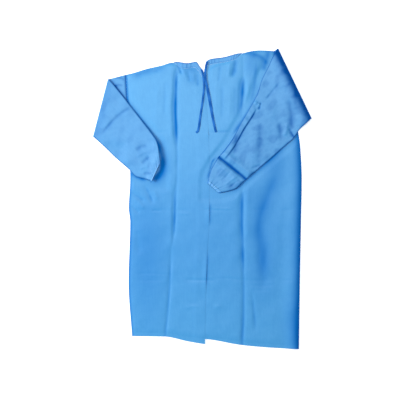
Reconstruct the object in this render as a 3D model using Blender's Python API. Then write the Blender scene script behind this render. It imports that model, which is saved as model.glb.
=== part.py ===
"""A surgical gown of thin blue cloth, lying flat with its back up and its sleeves folded in.

The front panel lies on the surface, the two back panels lie on it and meet at the open back,
and each sleeve is a flattened tube that leaves its armhole, turns over at a fold and lies on
the back, with a gathered cuff at its end. A binding edges the neck and ends in two ties.

Sizes are in millimetres until a mesh is made: X runs across the gown, Y from the hem to the
neck, and Z up from the surface it lies on. The origin is the middle of the gown's outline.
"""

import bmesh
import bpy
import numpy as np

MILLIMETRE = 0.001

# Cloth and seams
CLOTH = 1.2
SEAM_GAP = 0.3
ARMHOLE_GAP = 0.8
BINDING_GAP = 0.6
LAYER_GAP = 0.3
MOST_CLOTH = 3.0

# Slack of the back over the front
LEAST_SLACK = 0.15
MIDDLE_SLACK = 3.3
MOST_HOLLOW = 3.6
EDGE_EASE = 18.0
HEM_EASE = 40.0
HEM_SLACK = 0.35
PRESSED_SHARE = 0.8
PRESS_MARGIN = 22.0
PRESS_EASE = 26.0

# Overlap of the two back panels at the opening
OVERLAP_STEP = 2.0
OVERLAP_EASE = 24.0
OVERLAP_CLEAR = 3.0

# Folded sleeves
TUBE_HOLLOW = 1.0
EDGE_HOLLOW = 0.8
SLEEVE_CLEARANCE = 0.8
FOLD_TURNS = 6
FOLD_REACH = 60.0
DROP_REACH = 60.0

# Cuffs and neck binding
CUFF_GATHERS = 14
CUFF_WAVE = 0.45
BINDING_CLOTH = 1.8
BINDING_WAVE = 0.4
BINDING_GATHER = 13.0
TIE_CLOTH = 1.2
TIE_GAP = 0.4
NECK_TIE_HEIGHT = 7.2
NECK_RISE = dict(y=470.0, along=36.0)


def columns(names, *rows):
    """A short table: one array of numbers for each named column."""
    return dict(zip(names.split(), np.array(rows, dtype=float).T))


# Side edges from hem to underarm, then a straight armhole up to the shoulder
LEFT_SIDE = columns("y x", (-591, -303), (-358, -318), (-99, -311), (-39, -317), (82, -311), (255, -315))
RIGHT_SIDE = columns("y x", (-647, 417), (-358, 421), (-91, 426), (82, 429), (220, 423), (294, 413))
LEFT_ARMHOLE_TOP = (-330, 536)
RIGHT_ARMHOLE_TOP = (309, 638)

# Hem and upper edge of each panel, from left to right
LEFT_HEM = columns("x y", (-303, -591), (-165, -593), (-60, -614), (12, -626))
RIGHT_HEM = columns("x y", (-27, -602), (14, -604), (173, -630), (300, -641), (417, -647))
FRONT_HEM = columns("x y", (-303, -589), (-165, -589), (14, -601), (173, -627), (300, -638), (417, -644))
LEFT_TOP = columns(
    "x y",
    (-330, 536), (-306, 541), (-240, 561), (-174, 576), (-130, 588), (-118, 586), (-96, 568),
    (-68, 562), (-36, 568), (-19, 555), (-6, 533), (8, 514),
)
RIGHT_TOP = columns(
    "x y",
    (15, 572), (46, 583), (94, 590), (145, 604), (165, 623), (176, 629), (249, 641), (309, 638),
)
FRONT_TOP = columns(
    "x y",
    (-330, 536), (-306, 541), (-240, 561), (-174, 576), (-130, 584), (-100, 535), (-44, 500),
    (25, 487), (94, 508), (150, 560), (178, 622), (249, 640), (309, 638),
)

# Edges at the open back: the left one shows, and the right one lies under it below the neck
OPENING = columns(
    "y x",
    (-604, 12), (-371, 16), (-263, 20), (-69, 30), (147, 30), (281, 27), (388, 20), (458, 12), (514, 8),
)
RIGHT_BACK_EDGE = columns(
    "y x",
    (-604, -23), (-371, -19), (-263, -15), (-69, -5), (147, -5), (281, -8), (388, -15), (440, -19),
    (480, -16), (514, -7), (548, 7), (572, 15),
)

# Line along which the slack fades at the shoulders and neck, and the calm place at the notch
SLACK_TOP = columns(
    "x y",
    (-330, 537), (-240, 562), (-130, 588), (-68, 572), (8, 560), (60, 584), (94, 592), (176, 630),
    (249, 642), (309, 640),
)
NOTCH_CALM = dict(x=2.0, y=530.0, across=45.0, along=90.0, share=0.9)

# Packing creases that run from neck to hem, with the share of the slack that each takes away
LEFT_CREASE = columns(
    "y x share",
    (583, -111, 0.4), (532, -112, 0.9), (380, -117, 0.9), (246, -108, 0.6), (114, -108, 0.5),
    (13, -117, 0.8), (-138, -119, 0.7), (-224, -135, 0.5), (-358, -141, 0.4), (-591, -160, 0.4),
)
RIGHT_CREASE = columns(
    "y x share",
    (626, 176, 0.5), (535, 177, 0.8), (427, 170, 0.9), (255, 168, 0.4), (39, 168, 0.5),
    (-43, 158, 0.4), (-224, 176, 0.4), (-384, 179, 0.4), (-630, 171, 0.3),
)
CREASE_REACH = 13.0

# Packing creases that run across, the share of the slack each takes, and their half width
CROSS_CREASES = columns("y share reach", (287, 0.35, 9), (-47, 0.3, 9), (-350, 0.3, 9))

# Broad swells and troughs of the back: place, half width across and along, height
SWELLS = columns(
    "x y across along height",
    (378, -60, 28, 230, 2.2),
    (374, -420, 26, 190, 1.8),
    (290, -60, 42, 150, -1.2),
    (255, -330, 36, 120, -1.1),
    (228, 560, 38, 30, 2.0),
    (-30, -250, 90, 160, 0.7),
    (-230, -150, 60, 180, 0.8),
    (90, 440, 45, 110, 0.8),
)

# Folded sleeves: a row for each section from the fold to the end of the cuff. Each section
# runs from the upper edge to the underarm edge, with the lift of both ends off what it lies
# on and the height of its hollow.
LEFT_SLEEVE = columns(
    "over_x over_y under_x under_y lift_over lift_under hollow",
    (-407, 518, -472, 268, 0.0, 0.0, 1.0),
    (-368, 475, -425, 228, 0.0, 0.0, 2.4),
    (-319, 413, -376, 180, 0.0, 0.0, 1.8),
    (-271, 351, -315, 127, 1.0, 0.0, 3.2),
    (-227, 294, -284, 96, 4.0, 0.5, 3.4),
    (-196, 246, -249, 87, 9.0, 1.5, 3.0),
    (-186, 203, -234, 82, 12.0, 3.5, 3.2),
    (-182.5, 166, -225, 79, 13.0, 5.0, 2.4),
    (-183, 153, -220, 73, 13.0, 5.5, 2.2),
)
RIGHT_SLEEVE = columns(
    "over_x over_y under_x under_y lift_over lift_under hollow",
    (327, 649, 472, 347, 0.0, 0.0, 1.0),
    (300, 606, 444, 323, 0.0, 0.0, 2.4),
    (284, 570, 421, 303, 0.0, 0.0, 2.8),
    (258, 518, 392, 261, 0.0, 0.0, 1.8),
    (236, 452, 340, 215, 0.0, 0.0, 3.0),
    (200, 385, 292, 173, 0.5, 0.5, 3.2),
    (167, 328, 260, 146, 1.0, 1.0, 3.0),
    (126, 253, 226, 116, 1.5, 1.5, 3.2),
    (78, 191, 199, 93, 2.0, 2.0, 3.0),
    (68, 181, 190, 85, 1.0, 1.0, 0.9),
    (62, 171, 179, 76, 2.0, 2.0, 3.0),
    (36, 123, 140, 43, 3.0, 3.0, 3.2),
    (25, 82, 86, 28, 3.5, 3.5, 2.4),
    (23, 69, 71, 26, 3.5, 3.5, 2.2),
)
CUFF_ROWS = 2

# Fold of each sleeve: radius at mid cloth, and height and place of the roll beside it
LEFT_FOLD = dict(radius=2.3, roll=1.0, roll_reach=40.0)
RIGHT_FOLD = dict(radius=3.0, roll=5.5, roll_reach=34.0)

# Narrow raised strip along the right sleeve's upper edge, by share of the way along it
STRIP = dict(width=23.0, edge=4.0, height=1.4, start=0.34, full=0.38, fade=0.66, end=0.74)

# Neck binding: where its sewn edge meets the panel and where its free edge lies
LEFT_BINDING = columns(
    "inner_x outer_x outer_y",
    (-122, -121, 591), (-108, -108, 592), (-68, -68, 586), (-36, -29, 592), (-19, -11, 572), (8, 6, 548),
)
RIGHT_BINDING = columns(
    "inner_x outer_x outer_y",
    (15, 19, 596), (36, 36, 604), (94, 93, 612), (145, 150, 627), (168, 172, 630),
)
FRONT_BINDING = columns(
    "inner_x outer_x outer_y",
    (-128, -123, 590), (-98, -84, 548), (-44, -38, 521), (25, 25, 509), (94, 88, 530),
    (150, 134, 575), (176, 164, 624),
)

# Neck ties from the corner of each back panel down over the back
LEFT_TIE = columns(
    "x y width",
    (-4, 559, 8), (2, 540, 8), (5, 518, 8), (8, 492, 8), (3, 436, 9), (-4, 385, 9), (-10, 345, 10),
    (-15, 308, 10), (-19, 293, 10), (-27, 286, 9),
)
RIGHT_TIE = columns(
    "x y width",
    (21, 592, 9), (16, 574, 9), (13, 548, 9), (14, 518, 9), (19, 492, 10), (28, 446, 13),
    (36, 403, 13), (44, 356, 11), (56, 299, 10), (59, 288, 10),
)

# Where the rows and columns of a panel's mesh lie between its named lines
BACK_ROWS = (0, 0.03, 0.2, 0.4, 0.6, 0.8, 0.97)
FRONT_ROWS = (0, 0.3, 0.65)
LEFT_PANEL_COLUMNS = (
    (0, 0.05, 0.14, 0.3, 0.5, 0.7, 0.86, 0.95),
    (0, 0.12, 0.4, 0.7),
    (0, 0.5),
    (0, 0.5),
)
RIGHT_PANEL_COLUMNS = (
    (0, 0.5),
    (0, 0.2, 0.45, 0.7, 0.92),
    (0, 0.05, 0.15, 0.3, 0.5, 0.7, 0.85),
    (0, 0.3, 0.6, 0.85),
)
FRONT_COLUMNS = (
    (0, 0.06, 0.15, 0.3, 0.45, 0.56, 0.64, 0.72, 0.86),
    (0, 0.3, 0.6, 0.85),
    (0, 0.15, 0.3, 0.5, 0.7, 0.85, 0.94),
)
SLEEVE_ACROSS = (0, 0.05, 0.095, 0.13, 0.24, 0.38, 0.52, 0.66, 0.8, 0.91, 1)
CUFF_ACROSS = tuple(np.linspace(0, 1, 27))
EDGE_TURNS = (60, 120)
RIDGE_INSET = 46.0

# Cloth colours as sRGB hex values
PANEL_BLUE = "58A6E4"
SLEEVE_BLUE = "62AEE8"
BINDING_BLUE = "3F8FD6"
TIE_BLUE = "2F74BE"
CLOTH_ROUGHNESS = 0.85


def ease(share):
    """Smooth step from 0 to 1 as share goes from 0 to 1."""
    share = np.clip(share, 0.0, 1.0)
    return share * share * (3.0 - 2.0 * share)


def smooth_through(at, keys, values):
    """Values on a smooth curve through the keys, which never swings past its own points."""
    at = np.asarray(at, dtype=float)
    step = np.diff(keys)
    slope = np.diff(values) / step
    first, second = slope[:-1], slope[1:]
    weight = 2 * step[1:] + step[:-1]
    other = step[1:] + 2 * step[:-1]
    turning = first * second <= 0
    spread = weight / np.where(turning, 1.0, first) + other / np.where(turning, 1.0, second)
    inner = np.where(turning, 0.0, (weight + other) / spread)
    tangent = np.concatenate([slope[:1], inner, slope[-1:]])
    cell = np.clip(np.searchsorted(keys, at, side="right") - 1, 0, len(keys) - 2)
    t = np.clip((at - keys[cell]) / step[cell], 0.0, 1.0)
    rise = t * t * (3 - 2 * t)
    start = t * (1 - t) ** 2 * step[cell] * tangent[cell]
    finish = -t * t * (1 - t) * step[cell] * tangent[cell + 1]
    return values[cell] * (1 - rise) + values[cell + 1] * rise + start + finish


def read(table, key, value, at):
    """Smooth value of one column of a table at places given in another column."""
    order = np.argsort(table[key])
    return smooth_through(at, table[key][order], table[value][order])


def side_line(side, armhole_top, y):
    """Side edge of the body: smooth up to the underarm, then straight along the armhole."""
    underarm_y, underarm_x = side["y"][-1], side["x"][-1]
    share = np.clip((y - underarm_y) / (armhole_top[1] - underarm_y), 0.0, 1.0)
    return read(side, "y", "x", y) + share * (armhole_top[0] - underarm_x)


def left_side(y):
    """Left edge of the body at each place along it."""
    return side_line(LEFT_SIDE, LEFT_ARMHOLE_TOP, y)


def right_side(y):
    """Right edge of the body at each place along it."""
    return side_line(RIGHT_SIDE, RIGHT_ARMHOLE_TOP, y)


def opening(y):
    """Edge of the left back panel at the opening."""
    return read(OPENING, "y", "x", y)


def right_back_edge(y):
    """Edge of the right back panel, most of it under the left one."""
    return read(RIGHT_BACK_EDGE, "y", "x", y)


def body_hem(x):
    """Lower edge of the back, left and right panels together."""
    return np.where(x < LEFT_HEM["x"][-1], read(LEFT_HEM, "x", "y", x), read(RIGHT_HEM, "x", "y", x))


def under_sleeve(sleeve, side, x, y):
    """1 where a folded sleeve lies on the body and 0 away from it, with a soft edge."""
    over = np.argsort(sleeve["over_y"])
    under = np.argsort(sleeve["under_x"])
    inner = np.interp(y, sleeve["over_y"][over], sleeve["over_x"][over])
    lower = np.interp(x, sleeve["under_x"][under], sleeve["under_y"][under])
    across = ease((side * (x - inner) + PRESS_MARGIN + PRESS_EASE) / PRESS_EASE)
    along = ease((y - lower + PRESS_MARGIN + PRESS_EASE) / PRESS_EASE)
    return across * along


def slack(x, y):
    """Height of the back's slack over the front: swells, creases and pressed places."""
    width = right_side(y) - left_side(y)
    share = np.clip((x - left_side(y)) / width, 0.0, 1.0)
    height = MIDDLE_SLACK * np.sqrt(np.sin(np.pi * share))
    for swell_x, swell_y, across, along, rise in zip(*SWELLS.values()):
        height = height + rise * np.exp(-(((x - swell_x) / across) ** 2) - ((y - swell_y) / along) ** 2)
    for crease in (LEFT_CREASE, RIGHT_CREASE):
        away = np.abs(x - read(crease, "y", "x", y))
        height = height * (1 - read(crease, "y", "share", y) * np.exp(-away / CREASE_REACH))
    for crease_y, taken, reach in zip(*CROSS_CREASES.values()):
        height = height * (1 - taken * np.exp(-np.abs(y - crease_y) / reach))
    pressed = np.maximum(under_sleeve(LEFT_SLEEVE, -1, x, y), under_sleeve(RIGHT_SLEEVE, 1, x, y))
    height = height * (1 - PRESSED_SHARE * pressed)
    across = (x - NOTCH_CALM["x"]) / NOTCH_CALM["across"]
    along = (y - NOTCH_CALM["y"]) / NOTCH_CALM["along"]
    height = height * (1 - NOTCH_CALM["share"] * np.exp(-(across**2) - along**2))
    sides = ease((x - left_side(y)) / EDGE_EASE) * ease((right_side(y) - x) / EDGE_EASE)
    top = ease((read(SLACK_TOP, "x", "y", x) - y) / EDGE_EASE)
    hem = HEM_SLACK + (1 - HEM_SLACK) * ease((y - body_hem(x)) / HEM_EASE)
    return LEAST_SLACK + height * sides * top * hem


def overlap_step(x, y):
    """Rise of the left back panel where it climbs onto the right one."""
    return OVERLAP_STEP * ease((x - right_back_edge(y) + OVERLAP_EASE + OVERLAP_CLEAR) / OVERLAP_EASE)


def right_panel_base(x, y):
    """Underside of the right back panel."""
    return CLOTH + LAYER_GAP + slack(x, y)


def left_panel_base(x, y):
    """Underside of the left back panel."""
    return right_panel_base(x, y) + overlap_step(x, y)


def front_cloth(x, y):
    """Thickness of the front panel, which grows under the highest slack."""
    shown = slack(x, y) + np.where(x < opening(y), overlap_step(x, y), 0.0)
    return np.clip(CLOTH + shown - (MOST_HOLLOW - LAYER_GAP), CLOTH, MOST_CLOTH)


def back_surface(x, y):
    """Top of the back at each place, whichever panel lies uppermost."""
    onto_left = ease((opening(y) + OVERLAP_EASE + OVERLAP_CLEAR - x) / OVERLAP_EASE)
    return right_panel_base(x, y) + CLOTH + onto_left * overlap_step(x, y)


def spread(parts):
    """Places along a run of stretches, from the shares of each stretch, ending at the last line."""
    return np.array([index + share for index, shares in enumerate(parts) for share in shares] + [len(parts)])


def between_lines(places, lines):
    """Straight blend between neighbouring lines, at places counted in lines."""
    lines = np.array(lines)
    cell = np.minimum(places.astype(int), len(lines) - 2)
    share = (places - cell).reshape(-1, *([1] * (lines.ndim - 1)))
    return lines[cell] * (1 - share) + lines[cell + 1] * share


def panel_grid(row_shares, column_shares, hem, top, upright_lines):
    """Places of a panel's mesh: rows between its hem, cross creases and top, columns between lines."""
    rows = spread([row_shares] * (len(CROSS_CREASES["y"]) + 1))
    places = spread(column_shares)
    levels = [float(np.mean(hem["y"])), *CROSS_CREASES["y"][::-1], float(np.mean(top["y"]))]
    y = np.repeat(between_lines(rows, levels)[:, None], len(places), axis=1)
    x = np.zeros_like(y)
    for _ in range(4):
        lines = [line(y) for line in upright_lines]
        cell = np.minimum(places.astype(int), len(lines) - 2)
        share = places - cell
        for column, (index, part) in enumerate(zip(cell, share)):
            x[:, column] = lines[index][:, column] * (1 - part) + lines[index + 1][:, column] * part
        hem_row = read(hem, "x", "y", x[0])
        top_row = read(top, "x", "y", x[-1])
        flat = np.ones(len(places))
        middle = [flat * level for level in CROSS_CREASES["y"][::-1]]
        y = between_lines(rows, [hem_row, *middle, top_row])
    return x, y


def linear_colour(hex_value):
    """Linear colour of an sRGB hex value."""
    shown = np.array([int(hex_value[i:i + 2], 16) for i in (0, 2, 4)]) / 255.0
    linear = np.where(shown <= 0.04045, shown / 12.92, ((shown + 0.055) / 1.055) ** 2.4)
    return (*linear, 1.0)


def cloth_material(name, hex_value):
    """Matt cloth of one colour."""
    material = bpy.data.materials.new(name)
    material.use_nodes = True
    shader = material.node_tree.nodes["Principled BSDF"]
    shader.inputs["Base Color"].default_value = linear_colour(hex_value)
    shader.inputs["Roughness"].default_value = CLOTH_ROUGHNESS
    shader.inputs["Metallic"].default_value = 0.0
    return material


def add_piece(name, points, faces, hex_value):
    """A named object from points in millimetres, with smooth shading and its own material."""
    mesh = bpy.data.meshes.new(name)
    mesh.from_pydata((np.asarray(points) * MILLIMETRE).tolist(), [], faces)
    shell = bmesh.new()
    shell.from_mesh(mesh)
    bmesh.ops.recalc_face_normals(shell, faces=shell.faces)
    shell.to_mesh(mesh)
    shell.free()
    mesh.shade_smooth()
    mesh.set_sharp_from_angle(angle=np.radians(40))
    mesh.materials.append(cloth_material(name, hex_value))
    piece = bpy.data.objects.new(name, mesh)
    bpy.context.scene.collection.objects.link(piece)
    return piece


def grid_faces(rows, across, start, closed=False, flip=False):
    """Triangles of a grid of points numbered row by row from start, all cut the same way."""
    faces = []
    for row in range(rows - 1):
        for column in range(across if closed else across - 1):
            following = (column + 1) % across
            a = start + row * across + column
            b = start + row * across + following
            c = b + across
            d = a + across
            faces += [(a, c, b), (a, d, c)] if flip else [(a, b, c), (a, c, d)]
    return faces


def sheet_wall(name, x, y, base, top, hex_value):
    """A sheet of cloth: a grid of places with an underside, an upper side and a closed rim."""
    rows, across = x.shape
    count = rows * across
    under = np.stack([x, y, base], axis=-1).reshape(-1, 3)
    upper = np.stack([x, y, top], axis=-1).reshape(-1, 3)
    faces = grid_faces(rows, across, count) + grid_faces(rows, across, 0, flip=True)
    rim = list(range(across))
    rim += [row * across + across - 1 for row in range(1, rows)]
    rim += [(rows - 1) * across + column for column in range(across - 2, -1, -1)]
    rim += [row * across for row in range(rows - 2, 0, -1)]
    for here, following in zip(rim, rim[1:] + rim[:1]):
        faces.append((here, following, following + count, here + count))
    return add_piece(name, np.concatenate([under, upper]), faces, hex_value)


def tube_wall(name, outer, inner, hex_value):
    """A tube of cloth open at both ends, from rings of points on its outer and inner sides."""
    rings, around = outer.shape[:2]
    count = rings * around
    faces = grid_faces(rings, around, 0, closed=True)
    faces += grid_faces(rings, around, count, closed=True, flip=True)
    for place in range(around):
        following = (place + 1) % around
        faces.append((following, place, count + place, count + following))
        last = (rings - 1) * around
        faces.append((last + place, last + following, count + last + following, count + last + place))
    points = np.concatenate([outer.reshape(-1, 3), inner.reshape(-1, 3)])
    return add_piece(name, points, faces, hex_value)


def back_panel(name, columns_between, hem, top, lines, base_of):
    """One half of the back."""
    x, y = panel_grid(BACK_ROWS, columns_between, hem, top, lines)
    base = base_of(x, y)
    sheet_wall(name, x, y, base, base + CLOTH, PANEL_BLUE)
    return x[-1], y[-1]


def mid_left(y):
    """The packing crease in the left half."""
    return read(LEFT_CREASE, "y", "x", y)


def mid_right(y):
    """The packing crease in the right half."""
    return read(RIGHT_CREASE, "y", "x", y)


def front_panel():
    """The whole front, flat on the surface."""
    lines = [left_side, opening, mid_right, right_side]
    x, y = panel_grid(FRONT_ROWS, FRONT_COLUMNS, FRONT_HEM, FRONT_TOP, lines)
    sheet_wall("front_panel", x, y, np.zeros_like(x), front_cloth(x, y), PANEL_BLUE)
    return x[-1], y[-1]


def left_back_panel():
    """The left half of the back, whose edge shows at the opening."""
    lines = [
        left_side,
        mid_left,
        lambda y: np.maximum(right_back_edge(y) - OVERLAP_EASE - OVERLAP_CLEAR, mid_left(y) + 40.0),
        lambda y: np.minimum(right_back_edge(y) - OVERLAP_CLEAR, opening(y) - 10.0),
        opening,
    ]
    name = "back_panel_left"
    return back_panel(name, LEFT_PANEL_COLUMNS, LEFT_HEM, LEFT_TOP, lines, left_panel_base)


def right_back_panel():
    """The right half of the back, whose edge lies under the left half."""
    lines = [
        right_back_edge,
        lambda y: np.maximum(opening(y), right_back_edge(y) + 12.0),
        mid_right,
        lambda y: right_side(y) - RIDGE_INSET,
        right_side,
    ]
    name = "back_panel_right"
    return back_panel(name, RIGHT_PANEL_COLUMNS, RIGHT_HEM, RIGHT_TOP, lines, right_panel_base)


def binding(name, table, panel_edge, base_of, stations, wave, cloth):
    """Strip along a neck edge, a seam's gap from the panel, with small gathers along it.

    Its stations are moved to the corners of the panel's edge, so that both edges run alike.
    """
    keys = np.linspace(0, 1, len(table["inner_x"]))
    share = np.linspace(0, 1, stations)
    corners = np.interp(panel_edge[0], smooth_through(share, keys, table["inner_x"]), share)
    nearest = np.abs(corners[:, None] - share).argmin(axis=1)
    inside = (corners > share[1]) & (corners < share[-2])
    share[nearest[inside]] = corners[inside]
    inner_x = smooth_through(share, keys, table["inner_x"])
    outer_x = smooth_through(share, keys, table["outer_x"])
    outer_y = smooth_through(share, keys, table["outer_y"])
    inner_y = np.interp(inner_x, *panel_edge) + BINDING_GAP
    across = np.array([0.0, 0.5, 1.0])
    x = inner_x[:, None] * (1 - across) + outer_x[:, None] * across
    y = inner_y[:, None] * (1 - across) + outer_y[:, None] * across
    run = np.concatenate([[0.0], np.cumsum(np.hypot(np.diff(outer_x), np.diff(outer_y)))])
    gather = wave * np.sin(2 * np.pi * run / BINDING_GATHER)[:, None] * np.array([1.0, 0.6, 1.0])
    base = base_of(inner_x, inner_y)[:, None] + wave + gather
    sheet_wall(name, x[:, ::-1], y[:, ::-1], base[:, ::-1], base[:, ::-1] + cloth, BINDING_BLUE)


def neck_bindings(left_edge, right_edge, front_edge):
    """The three stretches of binding round the neck."""
    gathers = dict(wave=BINDING_WAVE, cloth=BINDING_CLOTH)
    plain = dict(wave=0.0, cloth=CLOTH)
    binding("neck_binding_left", LEFT_BINDING, left_edge, left_panel_base, stations=38, **gathers)
    binding("neck_binding_right", RIGHT_BINDING, right_edge, right_panel_base, stations=44, **gathers)
    binding("neck_binding_front", FRONT_BINDING, front_edge, lambda x, y: 0.0 * x, stations=24, **plain)


def neck_tie(name, table, hex_value, stations=26):
    """A narrow strip from the neck corner that lies on the back and hangs nowhere."""
    run = np.concatenate([[0.0], np.cumsum(np.hypot(np.diff(table["x"]), np.diff(table["y"])))])
    at = np.linspace(0, run[-1], stations)
    x = smooth_through(at, run, table["x"])
    y = smooth_through(at, run, table["y"])
    half = smooth_through(at, run, table["width"]) / 2
    along = np.stack([np.gradient(x), np.gradient(y)])
    along /= np.hypot(*along)
    across = np.array([-1.0, 0.0, 1.0]) * half[:, None]
    grid_x = x[:, None] - along[1][:, None] * across
    grid_y = y[:, None] + along[0][:, None] * across
    height = np.max(back_surface(grid_x, grid_y), axis=1)
    height = np.maximum(height, NECK_TIE_HEIGHT * ease((y - NECK_RISE["y"]) / NECK_RISE["along"]))
    padded = np.pad(height, 1, mode="edge")
    height = np.maximum(np.maximum(padded[:-2], padded[2:]), height) + TIE_GAP
    base = np.repeat(height[:, None], 3, axis=1)
    sheet_wall(name, grid_x[:, ::-1], grid_y[:, ::-1], base, base + TIE_CLOTH, hex_value)


def fold_frame(sleeve, fold):
    """The fold of a sleeve: its two ends, the way out of the gown, its heights and radius."""
    over = np.array([sleeve["over_x"][0], sleeve["over_y"][0]])
    under = np.array([sleeve["under_x"][0], sleeve["under_y"][0]])
    along = (under - over) / np.linalg.norm(under - over)
    out = np.array([along[1], -along[0]])
    out = out * np.sign(out[0] * over[0])
    half = TUBE_HOLLOW / 2 + CLOTH
    reach = fold["radius"] + half
    return dict(
        over=over - out * reach,
        under=under - out * reach,
        out=out,
        axis_height=half + fold["radius"],
        base=2 * fold["radius"],
        radius=fold["radius"],
    )


def support_height(side, x, y):
    """Height of what a folded sleeve lies on: the back, its own first stretch, or the surface."""
    body = np.maximum(back_surface(x, y), TUBE_HOLLOW + 2 * CLOTH)
    if side > 0:
        return body
    past_body = LEFT_SIDE["x"][-1] - x
    past_sleeve = LEFT_SIDE["y"][-1] - y
    outside = np.clip(np.minimum(past_body, past_sleeve), 0.0, None)
    return body * (1 - ease(outside / DROP_REACH))


def ring_places(across, turns):
    """Places round a flat tube: share of its width, and the turn away from its upper side."""
    there = [(share, 0.0) for share in across]
    over_edge = [(1.0, turn) for turn in turns]
    back = [(share, 180.0) for share in across[::-1]]
    home = [(0.0, 180.0 + turn) for turn in turns]
    places = np.array(there + over_edge + back + home)
    return places[:, 0], np.radians(places[:, 1])


def ring_shape(over, under, hollow, across, turns, extra):
    """Flat ring of a tube: its places across the section and heights from its middle plane."""
    share, turn = ring_places(across, turns)
    width = np.linalg.norm(under - over)
    edge = EDGE_HOLLOW / 2 + CLOTH
    arch = np.sqrt(np.clip(np.sin(np.pi * share), 0.0, 1.0))
    opened = EDGE_HOLLOW + (hollow - EDGE_HOLLOW) * arch + extra(share * width)
    centre = edge + share * (width - 2 * edge)
    side = np.sin(turn)
    lift = np.cos(turn)
    inner = (centre + side * EDGE_HOLLOW / 2, lift * opened / 2)
    outer = (centre + side * edge, lift * (opened / 2 + CLOTH))
    return inner, outer, opened


def no_extra(places):
    """No raised strip."""
    return np.zeros_like(places)


def raised_strip(share_along):
    """Extra height of the narrow strip at one place along the right sleeve."""
    on = ease((share_along - STRIP["start"]) / (STRIP["full"] - STRIP["start"]))
    off = ease((STRIP["end"] - share_along) / (STRIP["end"] - STRIP["fade"]))

    def extra(places):
        return STRIP["height"] * on * off * (1 - ease((places - STRIP["width"]) / STRIP["edge"]))

    return extra


def lie_on_back(side, frame, fold, over, under, lifts, ring):
    """Points of a ring of the folded stretch: it lies on its support, plus the roll and the lift."""
    (place, height), opened = ring
    way = (under - over) / np.linalg.norm(under - over)
    spot = over + place[:, None] * way
    x, y = spot[:, 0], spot[:, 1]
    share = np.clip(place / np.linalg.norm(under - over), 0.0, 1.0)
    from_fold = np.clip((spot - frame["over"]) @ -frame["out"], 0.0, None)
    blend = ease(from_fold / FOLD_REACH)
    base = frame["base"] * (1 - blend) + (support_height(side, x, y) + SLEEVE_CLEARANCE) * blend
    roll = fold["roll"] * from_fold / fold["roll_reach"] * np.exp(1 - from_fold / fold["roll_reach"])
    lift = lifts[0] * (1 - share) ** 1.5 + lifts[1] * (1 - (1 - share) ** 1.5)
    return np.stack([x, y, base + roll + lift + opened / 2 + CLOTH - height], axis=-1)


def turn_over(frame, angle, over, under, place, height):
    """Points of a ring at one angle of the fold's turn."""
    way = (under - over) / np.linalg.norm(under - over)
    radius = frame["radius"] - height
    spot = over + place[:, None] * way + frame["out"] * (radius * np.sin(angle))[:, None]
    return np.column_stack([spot, frame["axis_height"] - radius * np.cos(angle)])


def sleeve_tube(side, sleeve, fold, armhole, name, strip, sections_between=2):
    """A sleeve from its armhole, over its fold, to the seam of its cuff, and then the cuff."""
    frame = fold_frame(sleeve, fold)
    outer_rings = []
    inner_rings = []

    for share in (0.0, 0.5):
        over = armhole[0] * (1 - share) + frame["over"] * share
        under = armhole[1] * (1 - share) + frame["under"] * share
        inner, outer, _ = ring_shape(over, under, TUBE_HOLLOW, SLEEVE_ACROSS, EDGE_TURNS, no_extra)
        for ring, store in ((inner, inner_rings), (outer, outer_rings)):
            store.append(turn_over(frame, 0.0, over, under, *ring))

    for angle in np.linspace(0, np.pi, FOLD_TURNS + 1):
        over, under = frame["over"], frame["under"]
        inner, outer, _ = ring_shape(over, under, TUBE_HOLLOW, SLEEVE_ACROSS, EDGE_TURNS, no_extra)
        for ring, store in ((inner, inner_rings), (outer, outer_rings)):
            store.append(turn_over(frame, angle, over, under, *ring))

    rows = len(sleeve["over_x"])
    seam_row = rows - CUFF_ROWS
    keys = np.arange(rows, dtype=float)
    table = {column: values.copy() for column, values in sleeve.items()}
    table["over_x"][0], table["over_y"][0] = frame["over"]
    table["under_x"][0], table["under_y"][0] = frame["under"]

    def section(place):
        """The ends, lifts and hollow of the section at a place counted in rows."""
        value = {column: float(smooth_through(place, keys, values)) for column, values in table.items()}
        over = np.array([value["over_x"], value["over_y"]])
        under = np.array([value["under_x"], value["under_y"]])
        return over, under, (value["lift_over"], value["lift_under"]), value["hollow"]

    def rings(places, across, extra_at, gathers):
        """Outer and inner rings of the folded stretch at places counted in rows."""
        outers = []
        inners = []
        for place in places:
            over, under, lifts, hollow = section(place)
            extra = extra_at(place / (rows - 1))
            inner, outer, opened = ring_shape(over, under, hollow, across, EDGE_TURNS, extra)
            wave = gathers * np.sin(CUFF_GATHERS * 2 * np.pi * np.arange(len(opened)) / len(opened))
            outers.append(lie_on_back(side, frame, fold, over, under, lifts, (outer, opened)))
            inners.append(lie_on_back(side, frame, fold, over, under, lifts, (inner, opened)))
            outers[-1][:, 2] += wave
            inners[-1][:, 2] += wave
        return np.array(outers), np.array(inners)

    seam_length = np.linalg.norm(section(seam_row)[0] - section(rows - 1)[0])
    gap = SEAM_GAP / seam_length
    extra_at = raised_strip if strip else (lambda share: no_extra)
    places = np.linspace(0, seam_row, sections_between * seam_row + 1)[1:]
    outers, inners = rings(places, SLEEVE_ACROSS, extra_at, 0.0)
    outer_all = np.concatenate([np.array(outer_rings), outers])
    inner_all = np.concatenate([np.array(inner_rings), inners])
    tube_wall("sleeve_" + name, outer_all, inner_all, SLEEVE_BLUE)

    cuff_places = np.linspace(seam_row + 2 * gap, rows - 1, 3)
    outers, inners = rings(cuff_places, CUFF_ACROSS, lambda share: no_extra, CUFF_WAVE)
    tube_wall("cuff_" + name, outers, inners, SLEEVE_BLUE)


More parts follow.
